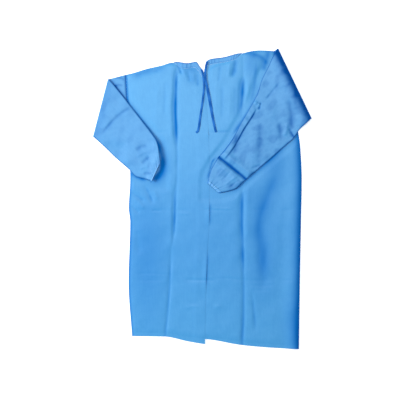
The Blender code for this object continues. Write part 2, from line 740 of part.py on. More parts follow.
def sleeves():
    """Both sleeves with their cuffs."""
    left_armhole = (
        np.array([LEFT_ARMHOLE_TOP[0] - ARMHOLE_GAP, LEFT_ARMHOLE_TOP[1]]),
        np.array([LEFT_SIDE["x"][-1] - ARMHOLE_GAP, LEFT_SIDE["y"][-1]]),
    )
    right_armhole = (
        np.array([RIGHT_ARMHOLE_TOP[0] + ARMHOLE_GAP, RIGHT_ARMHOLE_TOP[1]]),
        np.array([RIGHT_SIDE["x"][-1] + ARMHOLE_GAP, RIGHT_SIDE["y"][-1]]),
    )
    sleeve_tube(-1, LEFT_SLEEVE, LEFT_FOLD, left_armhole, "left", strip=False)
    sleeve_tube(1, RIGHT_SLEEVE, RIGHT_FOLD, right_armhole, "right", strip=True)


def clear_scene():
    """Remove whatever the scene holds."""
    for thing in list(bpy.data.objects):
        bpy.data.objects.remove(thing, do_unlink=True)


def main():
    """Build the gown, piece by piece."""
    clear_scene()
    front_edge = front_panel()
    left_edge = left_back_panel()
    right_edge = right_back_panel()
    neck_bindings(left_edge, right_edge, front_edge)
    sleeves()
    neck_tie("neck_tie_left", LEFT_TIE, TIE_BLUE)
    neck_tie("neck_tie_right", RIGHT_TIE, TIE_BLUE)


main()
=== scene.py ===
"""A disposable surgical gown of thin blue nonwoven cloth, laid flat with its back up.

The frame gives the gown's solids, and this script dresses them: panels with their packing
creases and slack, sleeves folded in over the back, gathered cuffs, a bound neck and its ties.

Lengths are in millimetres until a mesh is made, and heights are above the surface it lies on.
X runs across the gown, Y from the hem to the neck and Z up.
"""

import logging
import math
from dataclasses import dataclass, field
from enum import Enum
from typing import Callable, NamedTuple, Sequence

import bpy
import numpy as np
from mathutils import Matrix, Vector


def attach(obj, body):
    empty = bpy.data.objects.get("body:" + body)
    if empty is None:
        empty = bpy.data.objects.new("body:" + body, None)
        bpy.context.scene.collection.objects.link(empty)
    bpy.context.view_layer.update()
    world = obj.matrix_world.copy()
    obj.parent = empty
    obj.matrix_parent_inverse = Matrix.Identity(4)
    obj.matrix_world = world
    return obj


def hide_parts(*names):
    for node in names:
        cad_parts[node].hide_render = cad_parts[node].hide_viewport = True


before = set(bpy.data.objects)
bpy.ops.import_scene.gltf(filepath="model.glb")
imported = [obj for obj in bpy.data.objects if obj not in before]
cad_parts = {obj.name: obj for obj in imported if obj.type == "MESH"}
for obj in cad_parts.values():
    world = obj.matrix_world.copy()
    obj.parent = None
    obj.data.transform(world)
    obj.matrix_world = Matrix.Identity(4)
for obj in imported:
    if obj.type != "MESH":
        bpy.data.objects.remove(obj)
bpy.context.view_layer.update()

Array = np.ndarray
Place = tuple[float, float]

log = logging.getLogger("gown")

MILLIMETRE = 0.001
UV_NAME = "cloth"
PAINTED_SHADE_NAME = "painted_shade"

# Thickness of the cloth as it looks, and of the walls and gaps of the frame's solids
CLOTH = 0.6
SOLID_CLOTH = 1.2
SOLID_GAP = 0.3

# Height of the back's upper side where its slack is nothing, and at the side seams
BACK_LEVEL = 2 * SOLID_CLOTH + SOLID_GAP
SEAM_LEVEL = 2 * CLOTH + 0.15
SEAM_REACH = 16.0

# How strongly the creases show, and the trough in millimetres that takes full painted shade
CREASE_STRENGTH = 1.4
CREASE_DEPTH = 5.0


def ease(share: Array) -> Array:
    """Smooth step 3 s^2 - 2 s^3 of a share s held between 0 and 1."""
    share = np.clip(share, 0.0, 1.0)
    return share * share * (3.0 - 2.0 * share)


@dataclass(frozen=True)
class Curve:
    """A smooth line through given points, which never swings past them."""

    keys: Array
    values: Array

    @classmethod
    def through(cls, *points: Place) -> "Curve":
        """A curve through (key, value) pairs in any order."""
        keys, values = np.array(sorted(points), dtype=float).T
        return cls(keys, values)

    def __call__(self, at: Array) -> Array:
        """Values at places along the curve.

        Cubic between neighbouring points, with each tangent the weighted harmonic mean of the
        slopes on its two sides, or nothing where they differ in sign.

        Args:
            at: places on the key axis.

        Returns:
            The values there, held at the end points' values outside the curve.
        """
        at = np.asarray(at, dtype=float)
        step = np.diff(self.keys)
        slope = np.diff(self.values) / step
        first, second = slope[:-1], slope[1:]
        near = 2 * step[1:] + step[:-1]
        far = step[1:] + 2 * step[:-1]
        turning = first * second <= 0
        spread = near / np.where(turning, 1.0, first) + far / np.where(turning, 1.0, second)
        inner = np.where(turning, 0.0, (near + far) / spread)
        tangent = np.concatenate([slope[:1], inner, slope[-1:]])
        cell = np.clip(np.searchsorted(self.keys, at, side="right") - 1, 0, len(self.keys) - 2)
        t = np.clip((at - self.keys[cell]) / step[cell], 0.0, 1.0)
        rise = t * t * (3 - 2 * t)
        start = t * (1 - t) ** 2 * step[cell] * tangent[cell]
        finish = -t * t * (1 - t) * step[cell] * tangent[cell + 1]
        return self.values[cell] * (1 - rise) + self.values[cell + 1] * rise + start + finish


def unevenness(x: Array, y: Array, size: float, seed: int, waves: int = 7) -> Array:
    """A soft uneven field of about -1 to 1: the mean of sine waves in seeded directions.

    Args:
        x: places across, in millimetres.
        y: places along, in millimetres.
        size: typical length of one wave, in millimetres.
        seed: fixes the directions and phases.
        waves: how many sine waves are summed.

    Returns:
        The field at the places.
    """
    dice = np.random.default_rng(seed)
    total = np.zeros_like(x, dtype=float)
    for _ in range(waves):
        heading, phase = dice.uniform(0, 2 * np.pi, 2)
        length = size * dice.uniform(0.7, 1.6)
        run = x * np.cos(heading) + y * np.sin(heading)
        total += np.sin(2 * np.pi * run / length + phase)
    return total / math.sqrt(waves)


class Crease(NamedTuple):
    """A soft trough or ridge along a line.

    Its points run from the hem towards the neck, or from left to right. Height is negative for
    a trough. Left and right are its reach on the two sides of that way, in millimetres.
    """

    points: tuple[Place, ...]
    height: float
    left: float
    right: float

    def line(self, pieces: int = 18) -> Array:
        """The crease's line as (n, 2) points: smooth curves of x and y over its own length."""
        points = np.array(self.points, dtype=float)
        run = np.concatenate([[0.0], np.cumsum(np.hypot(*np.diff(points, axis=0).T))])
        if len(points) == 2:
            return points[0] + np.linspace(0, 1, pieces)[:, None] * (points[1] - points[0])
        at = np.linspace(0, run[-1], pieces)
        return np.column_stack([Curve(run, points[:, 0])(at), Curve(run, points[:, 1])(at)])

    def at(self, x: Array, y: Array) -> Array:
        """Height of the crease over places on the cloth.

        The height falls off as exp(-(distance / reach) ^ 1.6) on each side, fades over the
        last quarter at both ends, and swells and sinks a little along its length.

        Args:
            x: places across.
            y: places along.

        Returns:
            Heights in millimetres.
        """
        line = self.line()
        reach = 2.6 * max(self.left, self.right)
        low, high = line.min(axis=0) - reach, line.max(axis=0) + reach
        near = (x > low[0]) & (x < high[0]) & (y > low[1]) & (y < high[1])
        heights = np.zeros_like(x, dtype=float)
        if not near.any():
            return heights
        spots = np.column_stack([x[near], y[near]])[:, None, :]
        start, way = line[:-1], np.diff(line, axis=0)
        length = np.maximum((way**2).sum(axis=1), 1e-9)
        share = np.clip(((spots - start) * way).sum(axis=2) / length, 0.0, 1.0)
        offset = spots - start - share[..., None] * way
        distance = np.hypot(offset[..., 0], offset[..., 1])
        nearest = distance.argmin(axis=1)
        rows = np.arange(len(nearest))
        side = way[nearest, 0] * offset[rows, nearest, 1] - way[nearest, 1] * offset[rows, nearest, 0]
        reach = np.where(side > 0, self.left, self.right)
        along = (nearest + share[rows, nearest]) / (len(line) - 1)
        fade = ease(along / 0.25) * ease((1 - along) / 0.25)
        swell = 1 + 0.14 * np.sin(along * 9.0 + line[0, 0]) + 0.08 * np.sin(along * 23.0 + line[0, 1])
        heights[near] = self.height * fade * swell * np.exp(-((distance[rows, nearest] / reach) ** 1.6))
        return heights


class Swell(NamedTuple):
    """A broad swell or hollow: its middle, its half width across and along, and its height."""

    x: float
    y: float
    across: float
    along: float
    height: float

    def at(self, x: Array, y: Array) -> Array:
        """Height times exp(-(dx / across)^2 - (dy / along)^2)."""
        return self.height * np.exp(-(((x - self.x) / self.across) ** 2) - ((y - self.y) / self.along) ** 2)


Mark = Crease | Swell


def relief(marks: Sequence[Mark], x: Array, y: Array) -> Array:
    """Sum of the heights of creases and swells over places on the cloth."""
    total = np.zeros_like(x, dtype=float)
    for mark in marks:
        total += mark.at(x, y)
    return total


# Creases of the back: (points, height, left reach, right reach)
BACK_CREASES: tuple[Crease, ...] = (
    # Left packing crease, from the hem up
    Crease(((-168, -740), (-160, -600), (-150, -500), (-142, -400), (-137, -300), (-132, -190)), -1.5, 8, 6),
    Crease(((-128, -190), (-121, -120), (-118, -40), (-116, 60)), -2.6, 10, 6),
    Crease(((-112, 0), (-108, 100), (-108, 240)), -0.9, 8, 6),
    Crease(((-109, 190), (-112, 300), (-115, 390), (-113, 480), (-109, 585)), -3.7, 11, 6),
    Crease(((-128, 190), (-134, 300), (-138, 390), (-134, 480), (-130, 560)), 0.8, 14, 9),
    Crease(((-140, -230), (-134, -150), (-134, -60), (-133, 20)), 0.8, 12, 8),
    # Right packing crease, from the hem up
    Crease(((168, -780), (172, -625), (178, -500), (179, -380), (176, -280), (170, -180)), -1.9, 8, 6),
    Crease(((178, -330), (176, -220), (172, -100), (173, -20), (176, 85)), -2.9, 14, 6),
    Crease(((196, -190), (193, -100), (194, -20), (198, 75)), 1.0, 8, 12),
    Crease(((165, 320), (169, 400), (174, 460), (178, 540)), -3.0, 14, 7),
    Crease(((188, 330), (190, 400), (196, 460), (199, 530)), 1.0, 8, 12),
    # Crossing creases from the packing, and short ones beside them
    Crease(((28, 287), (90, 290), (160, 288)), -0.8, 5, 6),
    Crease(((38, -42), (85, -41), (130, -43)), 0.7, 4, 5),
    Crease(((-100, -62), (-52, -64)), 0.5, 4, 5),
    Crease(((-220, -50), (-176, -52)), -0.9, 4, 4),
    Crease(((-290, -322), (-200, -322), (-120, -328)), -0.32, 5, 6),
    Crease(((-280, -336), (-210, -338), (-150, -340)), -0.25, 4, 5),
    Crease(((-60, -348), (-20, -350), (14, -350)), -0.3, 5, 5),
    Crease(((40, -342), (110, -342), (180, -346)), -0.35, 5, 5),
    Crease(((190, -370), (250, -374), (320, -370)), -0.3, 5, 6),
    Crease(((200, -392), (250, -394), (310, -392)), -0.25, 4, 5),
    # Slack that fans out under the left sleeve's cuff
    Crease(((-208, -26), (-228, 20), (-252, 68)), -1.8, 10, 7),
    Crease(((-312, 36), (-275, 8), (-240, -16)), -1.5, 7, 9),
    Crease(((-300, 8), (-268, -22), (-246, -46)), 0.9, 8, 8),
    Crease(((-306, -28), (-268, -66)), -1.2, 7, 7),
    Crease(((-190, -10), (-205, 30), (-222, 66)), 0.9, 8, 8),
    # Long trough and line to the right of the right crease
    Crease(((266, -430), (264, -330), (258, -230), (262, -80)), -0.8, 24, 24),
    Crease(((255, -230), (244, -130), (256, -60), (280, 5), (305, 70), (330, 120)), -1.0, 22, 20),
    Crease(((230, -585), (222, -480), (212, -380)), -1.2, 8, 9),
    Crease(((330, -300), (322, -180), (336, -60), (352, 60)), 1.1, 30, 26),
    # Left half: soft hollows and lumps
    Crease(((-272, -245), (-276, -190), (-280, -130)), -1.0, 14, 14),
    Crease(((-78, -472), (-40, -462), (-6, -468)), 0.7, 8, 9),
    Crease(((48, -464), (88, -462)), 0.7, 8, 9),
    # Neck: gathers below the binding and at the shoulder
    Crease(((-88, 536), (-98, 560), (-107, 588)), -2.0, 7, 6),
    Crease(((-72, 520), (-78, 545), (-84, 566)), 0.9, 6, 6),
    Crease(((-52, 500), (-58, 530), (-62, 560)), -1.4, 7, 7),
    Crease(((-34, 488), (-36, 520), (-38, 556)), 0.9, 6, 7),
    Crease(((-20, 480), (-20, 510), (-24, 548)), -1.5, 7, 7),
    Crease(((124, 520), (138, 556), (146, 612)), -1.9, 11, 10),
    Crease(((112, 520), (116, 560), (120, 596)), 1.0, 8, 8),
    Crease(((70, 500), (74, 545), (80, 584)), -0.8, 7, 7),
    Crease(((40, 500), (42, 540), (46, 576)), 0.6, 7, 7),
    Crease(((268, 560), (278, 590), (286, 622)), -2.6, 16, 12),
    Crease(((206, 400), (230, 452), (244, 512)), -2.0, 14, 10),
    # Faint upright slack between the crease and the ties
    Crease(((54, 340), (58, 430), (60, 520)), 0.5, 8, 8),
    Crease(((84, 330), (86, 420), (84, 510)), -0.6, 8, 8),
    Crease(((112, 330), (118, 420), (116, 500)), 0.5, 8, 8),
    Crease(((138, 340), (140, 420), (142, 500)), -0.5, 8, 8),
    Crease(((-200, 330), (-196, 420), (-190, 500)), 0.5, 10, 10),
    Crease(((-165, 340), (-162, 440), (-158, 520)), -0.5, 9, 9),
    # Band below the left shoulder's upper edge
    Crease(((-300, 524), (-230, 546), (-165, 562)), -1.2, 7, 10),
)

LEFT_SLEEVE_CREASES: tuple[Mark, ...] = (
    Crease(((-440, 276), (-421, 297), (-386, 337), (-352, 368), (-300, 402)), -1.15, 5, 6),
    Crease(((-262, 150), (-240, 172), (-222, 182)), -1.3, 7, 7),
    Crease(((-285, 178), (-262, 196), (-236, 206)), 0.9, 6, 7),
    Crease(((-270, 128), (-246, 140), (-226, 142)), 0.9, 5, 6),
    Crease(((-290, 206), (-262, 224), (-232, 232)), -1.0, 8, 8),
    Crease(((-256, 108), (-236, 112), (-214, 108)), -0.9, 5, 6),
    Crease(((-214, 208), (-206, 228), (-208, 252)), 0.8, 6, 6),
)

RIGHT_SLEEVE_CREASES: tuple[Mark, ...] = (
    Crease(((270, 424), (300, 462), (333, 503)), -1.0, 4, 5),
    Crease(((240, 150), (248, 230), (252, 340)), -0.9, 14, 14),
    Crease(((122, 170), (144, 222), (150, 290)), -1.3, 12, 14),
    Crease(((10, 229), (68, 183), (120, 142), (192, 83), (250, 35)), -3.8, 6, 6),
    Crease(((30, 250), (88, 205), (140, 164), (212, 105), (270, 57)), 2.6, 16, 14),
    Crease(((0, 206), (56, 160), (106, 118), (172, 60), (230, 12)), 1.6, 10, 14),
    Crease(((388, 290), (384, 362), (370, 440)), -1.3, 14, 12),
    Crease(((342, 240), (336, 292), (332, 340)), -1.1, 10, 11),
    Crease(((400, 258), (386, 280), (372, 306)), -2.4, 6, 5),
    Crease(((352, 268), (362, 296), (366, 330)), 1.4, 8, 8),
    Crease(((300, 330), (306, 380), (318, 440)), 0.8, 20, 18),
    Crease(((96, 58), (128, 84), (158, 104)), 0.9, 5, 5),
    Crease(((112, 46), (142, 70), (172, 88)), -0.9, 5, 5),
    Crease(((78, 74), (104, 100), (128, 124)), -0.8, 5, 6),
    Crease(((60, 92), (84, 118), (108, 142)), 0.8, 6, 6),
    Crease(((210, 128), (232, 140), (258, 146)), -0.9, 6, 6),
    Crease(((222, 104), (246, 120), (272, 132)), 0.8, 5, 6),
    # Where the raised strip ends in a small knot
    Swell(231, 414, 8, 7, 2.6),
    Swell(247, 405, 7, 6, 2.2),
    Crease(((240, 384), (249, 400), (252, 418)), -2.6, 4, 4),
)

# Broad swells of the back: (x, y, half width, half length, height)
BACK_SWELLS: tuple[Swell, ...] = (
    Swell(378, -60, 28, 230, 2.2),
    Swell(374, -420, 26, 190, 1.8),
    Swell(290, -60, 42, 150, -1.2),
    Swell(262, -262, 24, 90, -2.2),
    Swell(228, 560, 38, 30, 2.0),
    Swell(-30, -250, 90, 160, 0.7),
    Swell(-230, -150, 60, 180, 0.8),
    Swell(90, 440, 45, 110, 0.8),
)

# Painted shade and shadow, as marks of how far the blue is mixed towards its shade colour: lines where a folded
# sleeve meets the back, the shadow cast by the lifted left cuff, and soft hollows
PAINTED_SHADE_MARKS: tuple[Mark, ...] = (
    # Painted shade: broad darker patches over the skirt and below the right sleeve
    Swell(30, -170, 460, 330, 0.26),
    Swell(300, -60, 80, 200, 0.14),
    Swell(-245, -260, 85, 330, 0.3),
    Swell(318, 150, 62, 90, 0.34),
    Swell(214, 20, 50, 60, 0.16),
    Swell(262, -330, 60, 130, 0.16),
    Swell(392, -545, 42, 120, 0.34),
    # Painted shade in the neck's gathers, at the shoulders and in the gap between the ties, then painted shadow
    # along creases and beside the sleeves
    Swell(-50, 560, 55, 24, 0.34),
    Swell(206, 575, 28, 46, 0.3),
    Crease(((10, 575), (11, 480), (14, 380)), 0.32, 9, 10),
    Swell(262, -258, 24, 80, 0.42),
    Crease(((33, -118), (33, -62), (33, -8)), 0.5, 3, 4),
    Crease(((18, -385), (20, -320), (25, -220)), 0.45, 4, 5),
    Crease(((-322, 524), (-240, 550), (-140, 574)), 0.42, 6, 16),
    Crease(((255, -250), (242, -135), (252, -66), (277, 0), (303, 64), (334, 130)), 0.4, 26, 24),
    Crease(((-330, 505), (-350, 522), (-384, 524)), 0.5, 5, 5),
    Crease(((-384, 478), (-362, 492), (-340, 488)), 0.45, 5, 5),
    Crease(((120, 262), (162, 322), (196, 372), (230, 426), (258, 484)), 0.75, 7, 6),
    # Painted shadow cast by the lifted left cuff onto the back
    Crease(((-240, 66), (-200, 93), (-175, 130), (-173, 168), (-186, 215), (-218, 276)), 1.05, 10, 22),
    Swell(-40, 516, 28, 20, 0.3),
    Crease(((180, 628), (225, 624), (262, 606), (286, 575)), 0.6, 9, 17),
    Crease(((258, 545), (274, 588), (290, 650)), 0.6, 15, 12),
    Crease(((204, 400), (222, 470), (232, 560), (236, 610)), 0.4, 10, 8),
    Crease(((20, 78), (32, 122), (44, 162), (66, 186)), 0.7, 4, 4),
    Crease(((-312, 118), (-286, 98), (-232, 80)), 0.8, 6, 8),
    Crease(((70, 24), (100, 30), (140, 42), (190, 82), (250, 132), (330, 206), (400, 268)), 0.6, 5, 8),
    Crease(((-170, 212), (-227, 294), (-271, 351), (-319, 413), (-368, 475), (-430, 560)), 1.0, 6, 8),
)


def under_sleeve(sleeve: "SleeveShape", x: Array, y: Array) -> Array:
    """1 where a folded sleeve lies on the body and 0 away from it, with a soft edge."""
    over = np.argsort(sleeve.over[:, 1])
    under = np.argsort(sleeve.under[:, 0])
    inner = np.interp(y, sleeve.over[over, 1], sleeve.over[over, 0])
    lower = np.interp(x, sleeve.under[under, 0], sleeve.under[under, 1])
    margin, soft = 22.0, 26.0
    across = ease((sleeve.side * (x - inner) + margin + soft) / soft)
    along = ease((y - lower + margin + soft) / soft)
    return across * along


@dataclass(frozen=True)
class SleeveShape:
    """A folded sleeve: sections from its fold to the end of its cuff, a row for each.

    Columns of sections are the upper edge's x and y, the underarm edge's x and y, the lift of
    both edges, and the height of the hollow in the tube.
    """

    side: int
    sections: tuple[tuple[float, ...], ...]
    radius: float
    roll: float
    roll_reach: float
    fold_shade: float
    mottle: float

    @property
    def table(self) -> Array:
        """The sections as an array, a row for each."""
        return np.array(self.sections, dtype=float)

    @property
    def over(self) -> Array:
        """Places of the upper edge."""
        return self.table[:, 0:2]

    @property
    def under(self) -> Array:
        """Places of the underarm edge."""
        return self.table[:, 2:4]


LEFT_SLEEVE = SleeveShape(
    side=-1,
    radius=2.3,
    roll=1.0,
    roll_reach=40.0,
    fold_shade=0.25,
    mottle=0.5,
    sections=(
        (-407, 518, -472, 268, 0.0, 0.0, 1.0),
        (-368, 475, -425, 228, 0.0, 0.0, 2.4),
        (-319, 413, -376, 180, 0.0, 0.0, 1.8),
        (-271, 351, -315, 127, 1.0, 0.0, 3.2),
        (-227, 294, -284, 96, 4.0, 1.0, 3.4),
        (-196, 246, -249, 87, 9.5, 3.0, 3.0),
        (-186, 203, -234, 82, 13.0, 6.5, 3.2),
        (-182.5, 166, -225, 79, 14.0, 9.0, 2.4),
        (-183, 153, -220, 73, 14.0, 10.0, 2.2),
    ),
)
RIGHT_SLEEVE = SleeveShape(
    side=1,
    radius=4.5,
    roll=8.0,
    roll_reach=26.0,
    fold_shade=1.0,
    mottle=1.0,
    sections=(
        (327, 649, 472, 347, 0.0, 0.0, 1.0),
        (300, 606, 444, 323, 0.0, 0.0, 2.4),
        (284, 570, 421, 303, 0.0, 0.0, 2.8),
        (258, 518, 392, 261, 0.0, 0.0, 1.8),
        (236, 452, 340, 215, 0.0, 0.0, 3.0),
        (200, 385, 292, 173, 0.5, 0.5, 3.2),
        (167, 328, 260, 146, 1.0, 1.0, 3.0),
        (126, 253, 226, 116, 1.5, 1.5, 3.2),
        (78, 191, 199, 93, 2.0, 2.0, 3.0),
        (68, 181, 190, 85, 1.0, 1.0, 0.9),
        (62, 171, 179, 76, 2.0, 2.0, 3.0),
        (36, 123, 140, 43, 3.0, 3.0, 3.2),
        (25, 82, 86, 28, 3.5, 3.5, 2.4),
        (23, 69, 71, 26, 3.5, 3.5, 2.2),
    ),
)


class Body:
    """Outline of the gown's body and the height of its back at every place."""

    left_line = Curve.through((-591, -303), (-358, -318), (-99, -311), (-39, -317), (82, -311), (255, -315))
    right_line = Curve.through((-647, 417), (-358, 421), (-91, 426), (82, 429), (220, 423), (294, 413))
    left_armhole_top: Place = (-330, 536)
    right_armhole_top: Place = (309, 638)
    left_underarm: Place = (-315, 255)
    right_underarm: Place = (413, 294)
    left_hem = Curve.through((-303, -591), (-165, -593), (-60, -614), (12, -626))
    right_hem = Curve.through((-27, -602), (14, -604), (173, -630), (300, -641), (417, -647))
    front_hem = Curve.through(
        (-303, -589), (-165, -589), (14, -601), (173, -627), (300, -638), (417, -644)
    )
    slack_hem = Curve.through(
        (-303, -591), (-165, -593), (-60, -610), (12, -616), (80, -618), (173, -630), (300, -641), (417, -647)
    )
    left_top = Curve.through(
        (-330, 536), (-306, 541), (-240, 561), (-174, 576), (-130, 588), (-118, 586), (-96, 568),
        (-68, 562), (-36, 568), (-19, 555), (-6, 533), (8, 514),
    )
    right_top = Curve.through(
        (15, 572), (46, 583), (94, 590), (145, 604), (165, 623), (176, 629), (249, 641), (309, 638),
    )
    front_top = Curve.through(
        (-330, 536), (-306, 541), (-240, 561), (-174, 576), (-130, 584), (-100, 535), (-44, 500),
        (25, 487), (94, 508), (150, 560), (178, 622), (249, 640), (309, 638),
    )
    opening = Curve.through(
        (-604, 12), (-371, 16), (-263, 20), (-69, 30), (147, 30), (281, 27), (388, 20), (458, 12), (514, 8),
    )
    under_edge = Curve.through(
        (-604, -23), (-371, -19), (-263, -15), (-69, -5), (147, -5), (281, -8), (388, -15), (440, -19),
        (480, -16), (514, -7), (548, 7), (572, 15),
    )
    slack_top = Curve.through(
        (-330, 537), (-240, 562), (-130, 588), (-68, 572), (8, 560), (60, 584), (94, 592), (176, 630),
        (249, 642), (309, 640),
    )
    left_crease = Curve.through(
        (583, -111), (532, -112), (380, -117), (246, -108), (114, -108), (13, -117), (-138, -119),
        (-224, -135), (-358, -141), (-591, -160),
    )
    left_crease_share = Curve.through(
        (583, 0.4), (532, 0.9), (380, 0.9), (246, 0.6), (114, 0.5), (13, 0.8), (-138, 0.7), (-224, 0.5),
        (-358, 0.4), (-591, 0.4),
    )
    right_crease = Curve.through(
        (626, 176), (535, 177), (427, 170), (255, 168), (39, 172), (-43, 170), (-224, 176), (-384, 179),
        (-630, 171),
    )
    right_crease_share = Curve.through(
        (626, 0.5), (535, 0.8), (427, 0.9), (255, 0.4), (39, 0.5), (-43, 0.4), (-224, 0.4), (-384, 0.4),
        (-630, 0.3),
    )
    cross_creases: tuple[tuple[float, float], ...] = ((287, 0.35), (-47, 0.3), (-350, 0.3))
    lifts: tuple[tuple[float, float, float], ...] = ((-64, 40, 1.8), (-316, 66, 2.2), (280, 14, 1.2))

    roll_height = Curve.through((-647, 7.5), (-400, 6.0), (-150, 5.0), (82, 4.0), (220, 2.5), (294, 0.4))
    roll_width = 18.0

    middle_slack = 3.3
    least_slack = 0.15
    crease_reach = 13.0
    edge_reach = 18.0
    hem_reach = 40.0
    step = 0.8
    step_reach = 24.0
    step_clear = 3.0

    @classmethod
    def left(cls, y: Array) -> Array:
        """Left edge: a smooth side up to the underarm, then straight along the armhole."""
        share = np.clip((y - cls.left_underarm[1]) / (cls.left_armhole_top[1] - cls.left_underarm[1]), 0, 1)
        return cls.left_line(y) + share * (cls.left_armhole_top[0] - cls.left_underarm[0])

    @classmethod
    def right(cls, y: Array) -> Array:
        """Right edge: a smooth side up to the underarm, then straight along the armhole."""
        share = np.clip((y - cls.right_underarm[1]) / (cls.right_armhole_top[1] - cls.right_underarm[1]), 0, 1)
        return cls.right_line(y) + share * (cls.right_armhole_top[0] - cls.right_underarm[0])

    @classmethod
    def pressed(cls, x: Array, y: Array) -> Array:
        """How far the folded sleeves press the back down, from 0 to 1."""
        return np.maximum(under_sleeve(LEFT_SLEEVE, x, y), under_sleeve(RIGHT_SLEEVE, x, y))

    @classmethod
    def slack(cls, x: Array, y: Array) -> Array:
        """Height of the back's slack over the front.

        A low arch across the width, plus broad swells, times what each packing crease leaves,
        plus the creases' own relief; pressed flat under the sleeves and eased out at the edges.
        """
        left, right = cls.left(y), cls.right(y)
        share = np.clip((x - left) / (right - left), 0.0, 1.0)
        height = cls.middle_slack * np.sqrt(np.sin(np.pi * share)) + relief(BACK_SWELLS, x, y)
        for line, taken in (
            (cls.left_crease, cls.left_crease_share),
            (cls.right_crease, cls.right_crease_share),
        ):
            height = height * (1 - taken(y) * np.exp(-np.abs(x - line(y)) / cls.crease_reach))
        for crease_y, taken in cls.cross_creases:
            taken = taken * np.clip(0.4 + 0.9 * unevenness(x, y + crease_y, 150.0, 31), 0.0, 1.0)
            height = height * (1 - taken * np.exp(-((y - crease_y) / 7.0) ** 2))
        height = height + CREASE_STRENGTH * relief(BACK_CREASES, x, y)
        height = height + 0.35 * unevenness(x, y, 90.0, 5) + 0.07 * unevenness(x, y, 38.0, 6)
        height = height - 0.6 * np.exp(-(((y - cls.slack_hem(x) - 15.0) / 3.5) ** 2))
        height = np.maximum(height, 0.0)
        height = height * (1 - 0.8 * cls.pressed(x, y))
        across, along = (x - 2.0) / 45.0, (y - 530.0) / 90.0
        height = height * (1 - 0.9 * np.exp(-(across**2) - along**2))
        sides = ease((x - left) / cls.edge_reach) * ease((right - x) / cls.edge_reach)
        roll = cls.side_roll(x, y) * (1 - 0.8 * cls.pressed(x, y))
        top = ease((cls.slack_top(x) - y) / cls.edge_reach)
        hem = 0.35 + 0.65 * ease((y - cls.slack_hem(x)) / cls.hem_reach)
        return cls.least_slack + height * sides * top * hem + roll

    @classmethod
    def side_roll(cls, x: Array, y: Array) -> Array:
        """Height of the soft fold along the right side: a quarter ellipse, then a long fall."""
        away = np.clip(cls.right(y) - x, 0.0, None)
        rise = np.sqrt(np.clip(1 - (1 - np.minimum(away / cls.roll_width, 1.0)) ** 2, 0.0, 1.0))
        fall = np.exp(-((np.clip(away - cls.roll_width, 0.0, None) / 30.0) ** 2))
        return cls.roll_height(y) * rise * fall

    @classmethod
    def level(cls, x: Array, y: Array) -> Array:
        """Height of the back without its slack: it comes down to the front at the side seams."""
        away = np.minimum(x - cls.left(y), cls.right(y) - x)
        return SEAM_LEVEL + (BACK_LEVEL - SEAM_LEVEL) * ease(away / SEAM_REACH)

    @classmethod
    def step_up(cls, x: Array, y: Array) -> Array:
        """Rise of the left back panel where it climbs onto the right one."""
        return cls.step * ease((x - cls.under_edge(y) + cls.step_reach + cls.step_clear) / cls.step_reach)

    @classmethod
    def edge_lift(cls, x: Array, y: Array) -> Array:
        """Lift of the left panel's free edge at a few places along the opening."""
        near = ease(1 - (cls.opening(y) - x) / 22.0)
        return sum(height * np.exp(-(((y - place) / reach) ** 2)) for place, reach, height in cls.lifts) * near

    @classmethod
    def right_panel(cls, x: Array, y: Array) -> Array:
        """Upper side of the right back panel."""
        return cls.level(x, y) + cls.slack(x, y)

    @classmethod
    def left_panel(cls, x: Array, y: Array) -> Array:
        """Upper side of the left back panel."""
        rise = cls.step_up(x, y) + cls.edge_lift(x, y)
        return cls.right_panel(x, y) + rise - 1.15 * (CLOTH - cls.left_cloth(x, y))

    @classmethod
    def left_cloth(cls, x: Array, y: Array) -> Array:
        """Thickness of the left back panel, whose free edge is pressed thin."""
        return CLOTH * (1 - 0.6 * ease(1 - (cls.opening(y) - x) / 8.0))

    @classmethod
    def surface(cls, x: Array, y: Array) -> Array:
        """Upper side of whichever back panel lies uppermost."""
        onto = ease((cls.opening(y) + cls.step_reach + cls.step_clear - x) / cls.step_reach)
        return cls.right_panel(x, y) + onto * (cls.step_up(x, y) + cls.edge_lift(x, y))


def linear_colour(hex_value: str) -> tuple[float, float, float, float]:
    """Linear colour of an sRGB hex value."""
    shown = np.array([int(hex_value[i:i + 2], 16) for i in (0, 2, 4)]) / 255.0
    linear = np.where(shown <= 0.04045, shown / 12.92, ((shown + 0.055) / 1.055) ** 2.4)
    return (*(float(part) for part in linear), 1.0)


def add_node(tree: bpy.types.NodeTree, kind: str, inputs: dict | None = None, **settings) -> bpy.types.Node:
    """Add a node to a tree.

    Args:
        tree: the material's node tree.
        kind: the node's type.
        inputs: values or output sockets for its inputs, by name or number.
        settings: its own properties.

    Returns:
        The new node.
    """
    node = tree.nodes.new(kind)
    for name, value in settings.items():
        setattr(node, name, value)
    for name, value in (inputs or {}).items():
        if isinstance(value, bpy.types.NodeSocket):
            tree.links.new(value, node.inputs[name])
        else:
            node.inputs[name].default_value = value
    return node


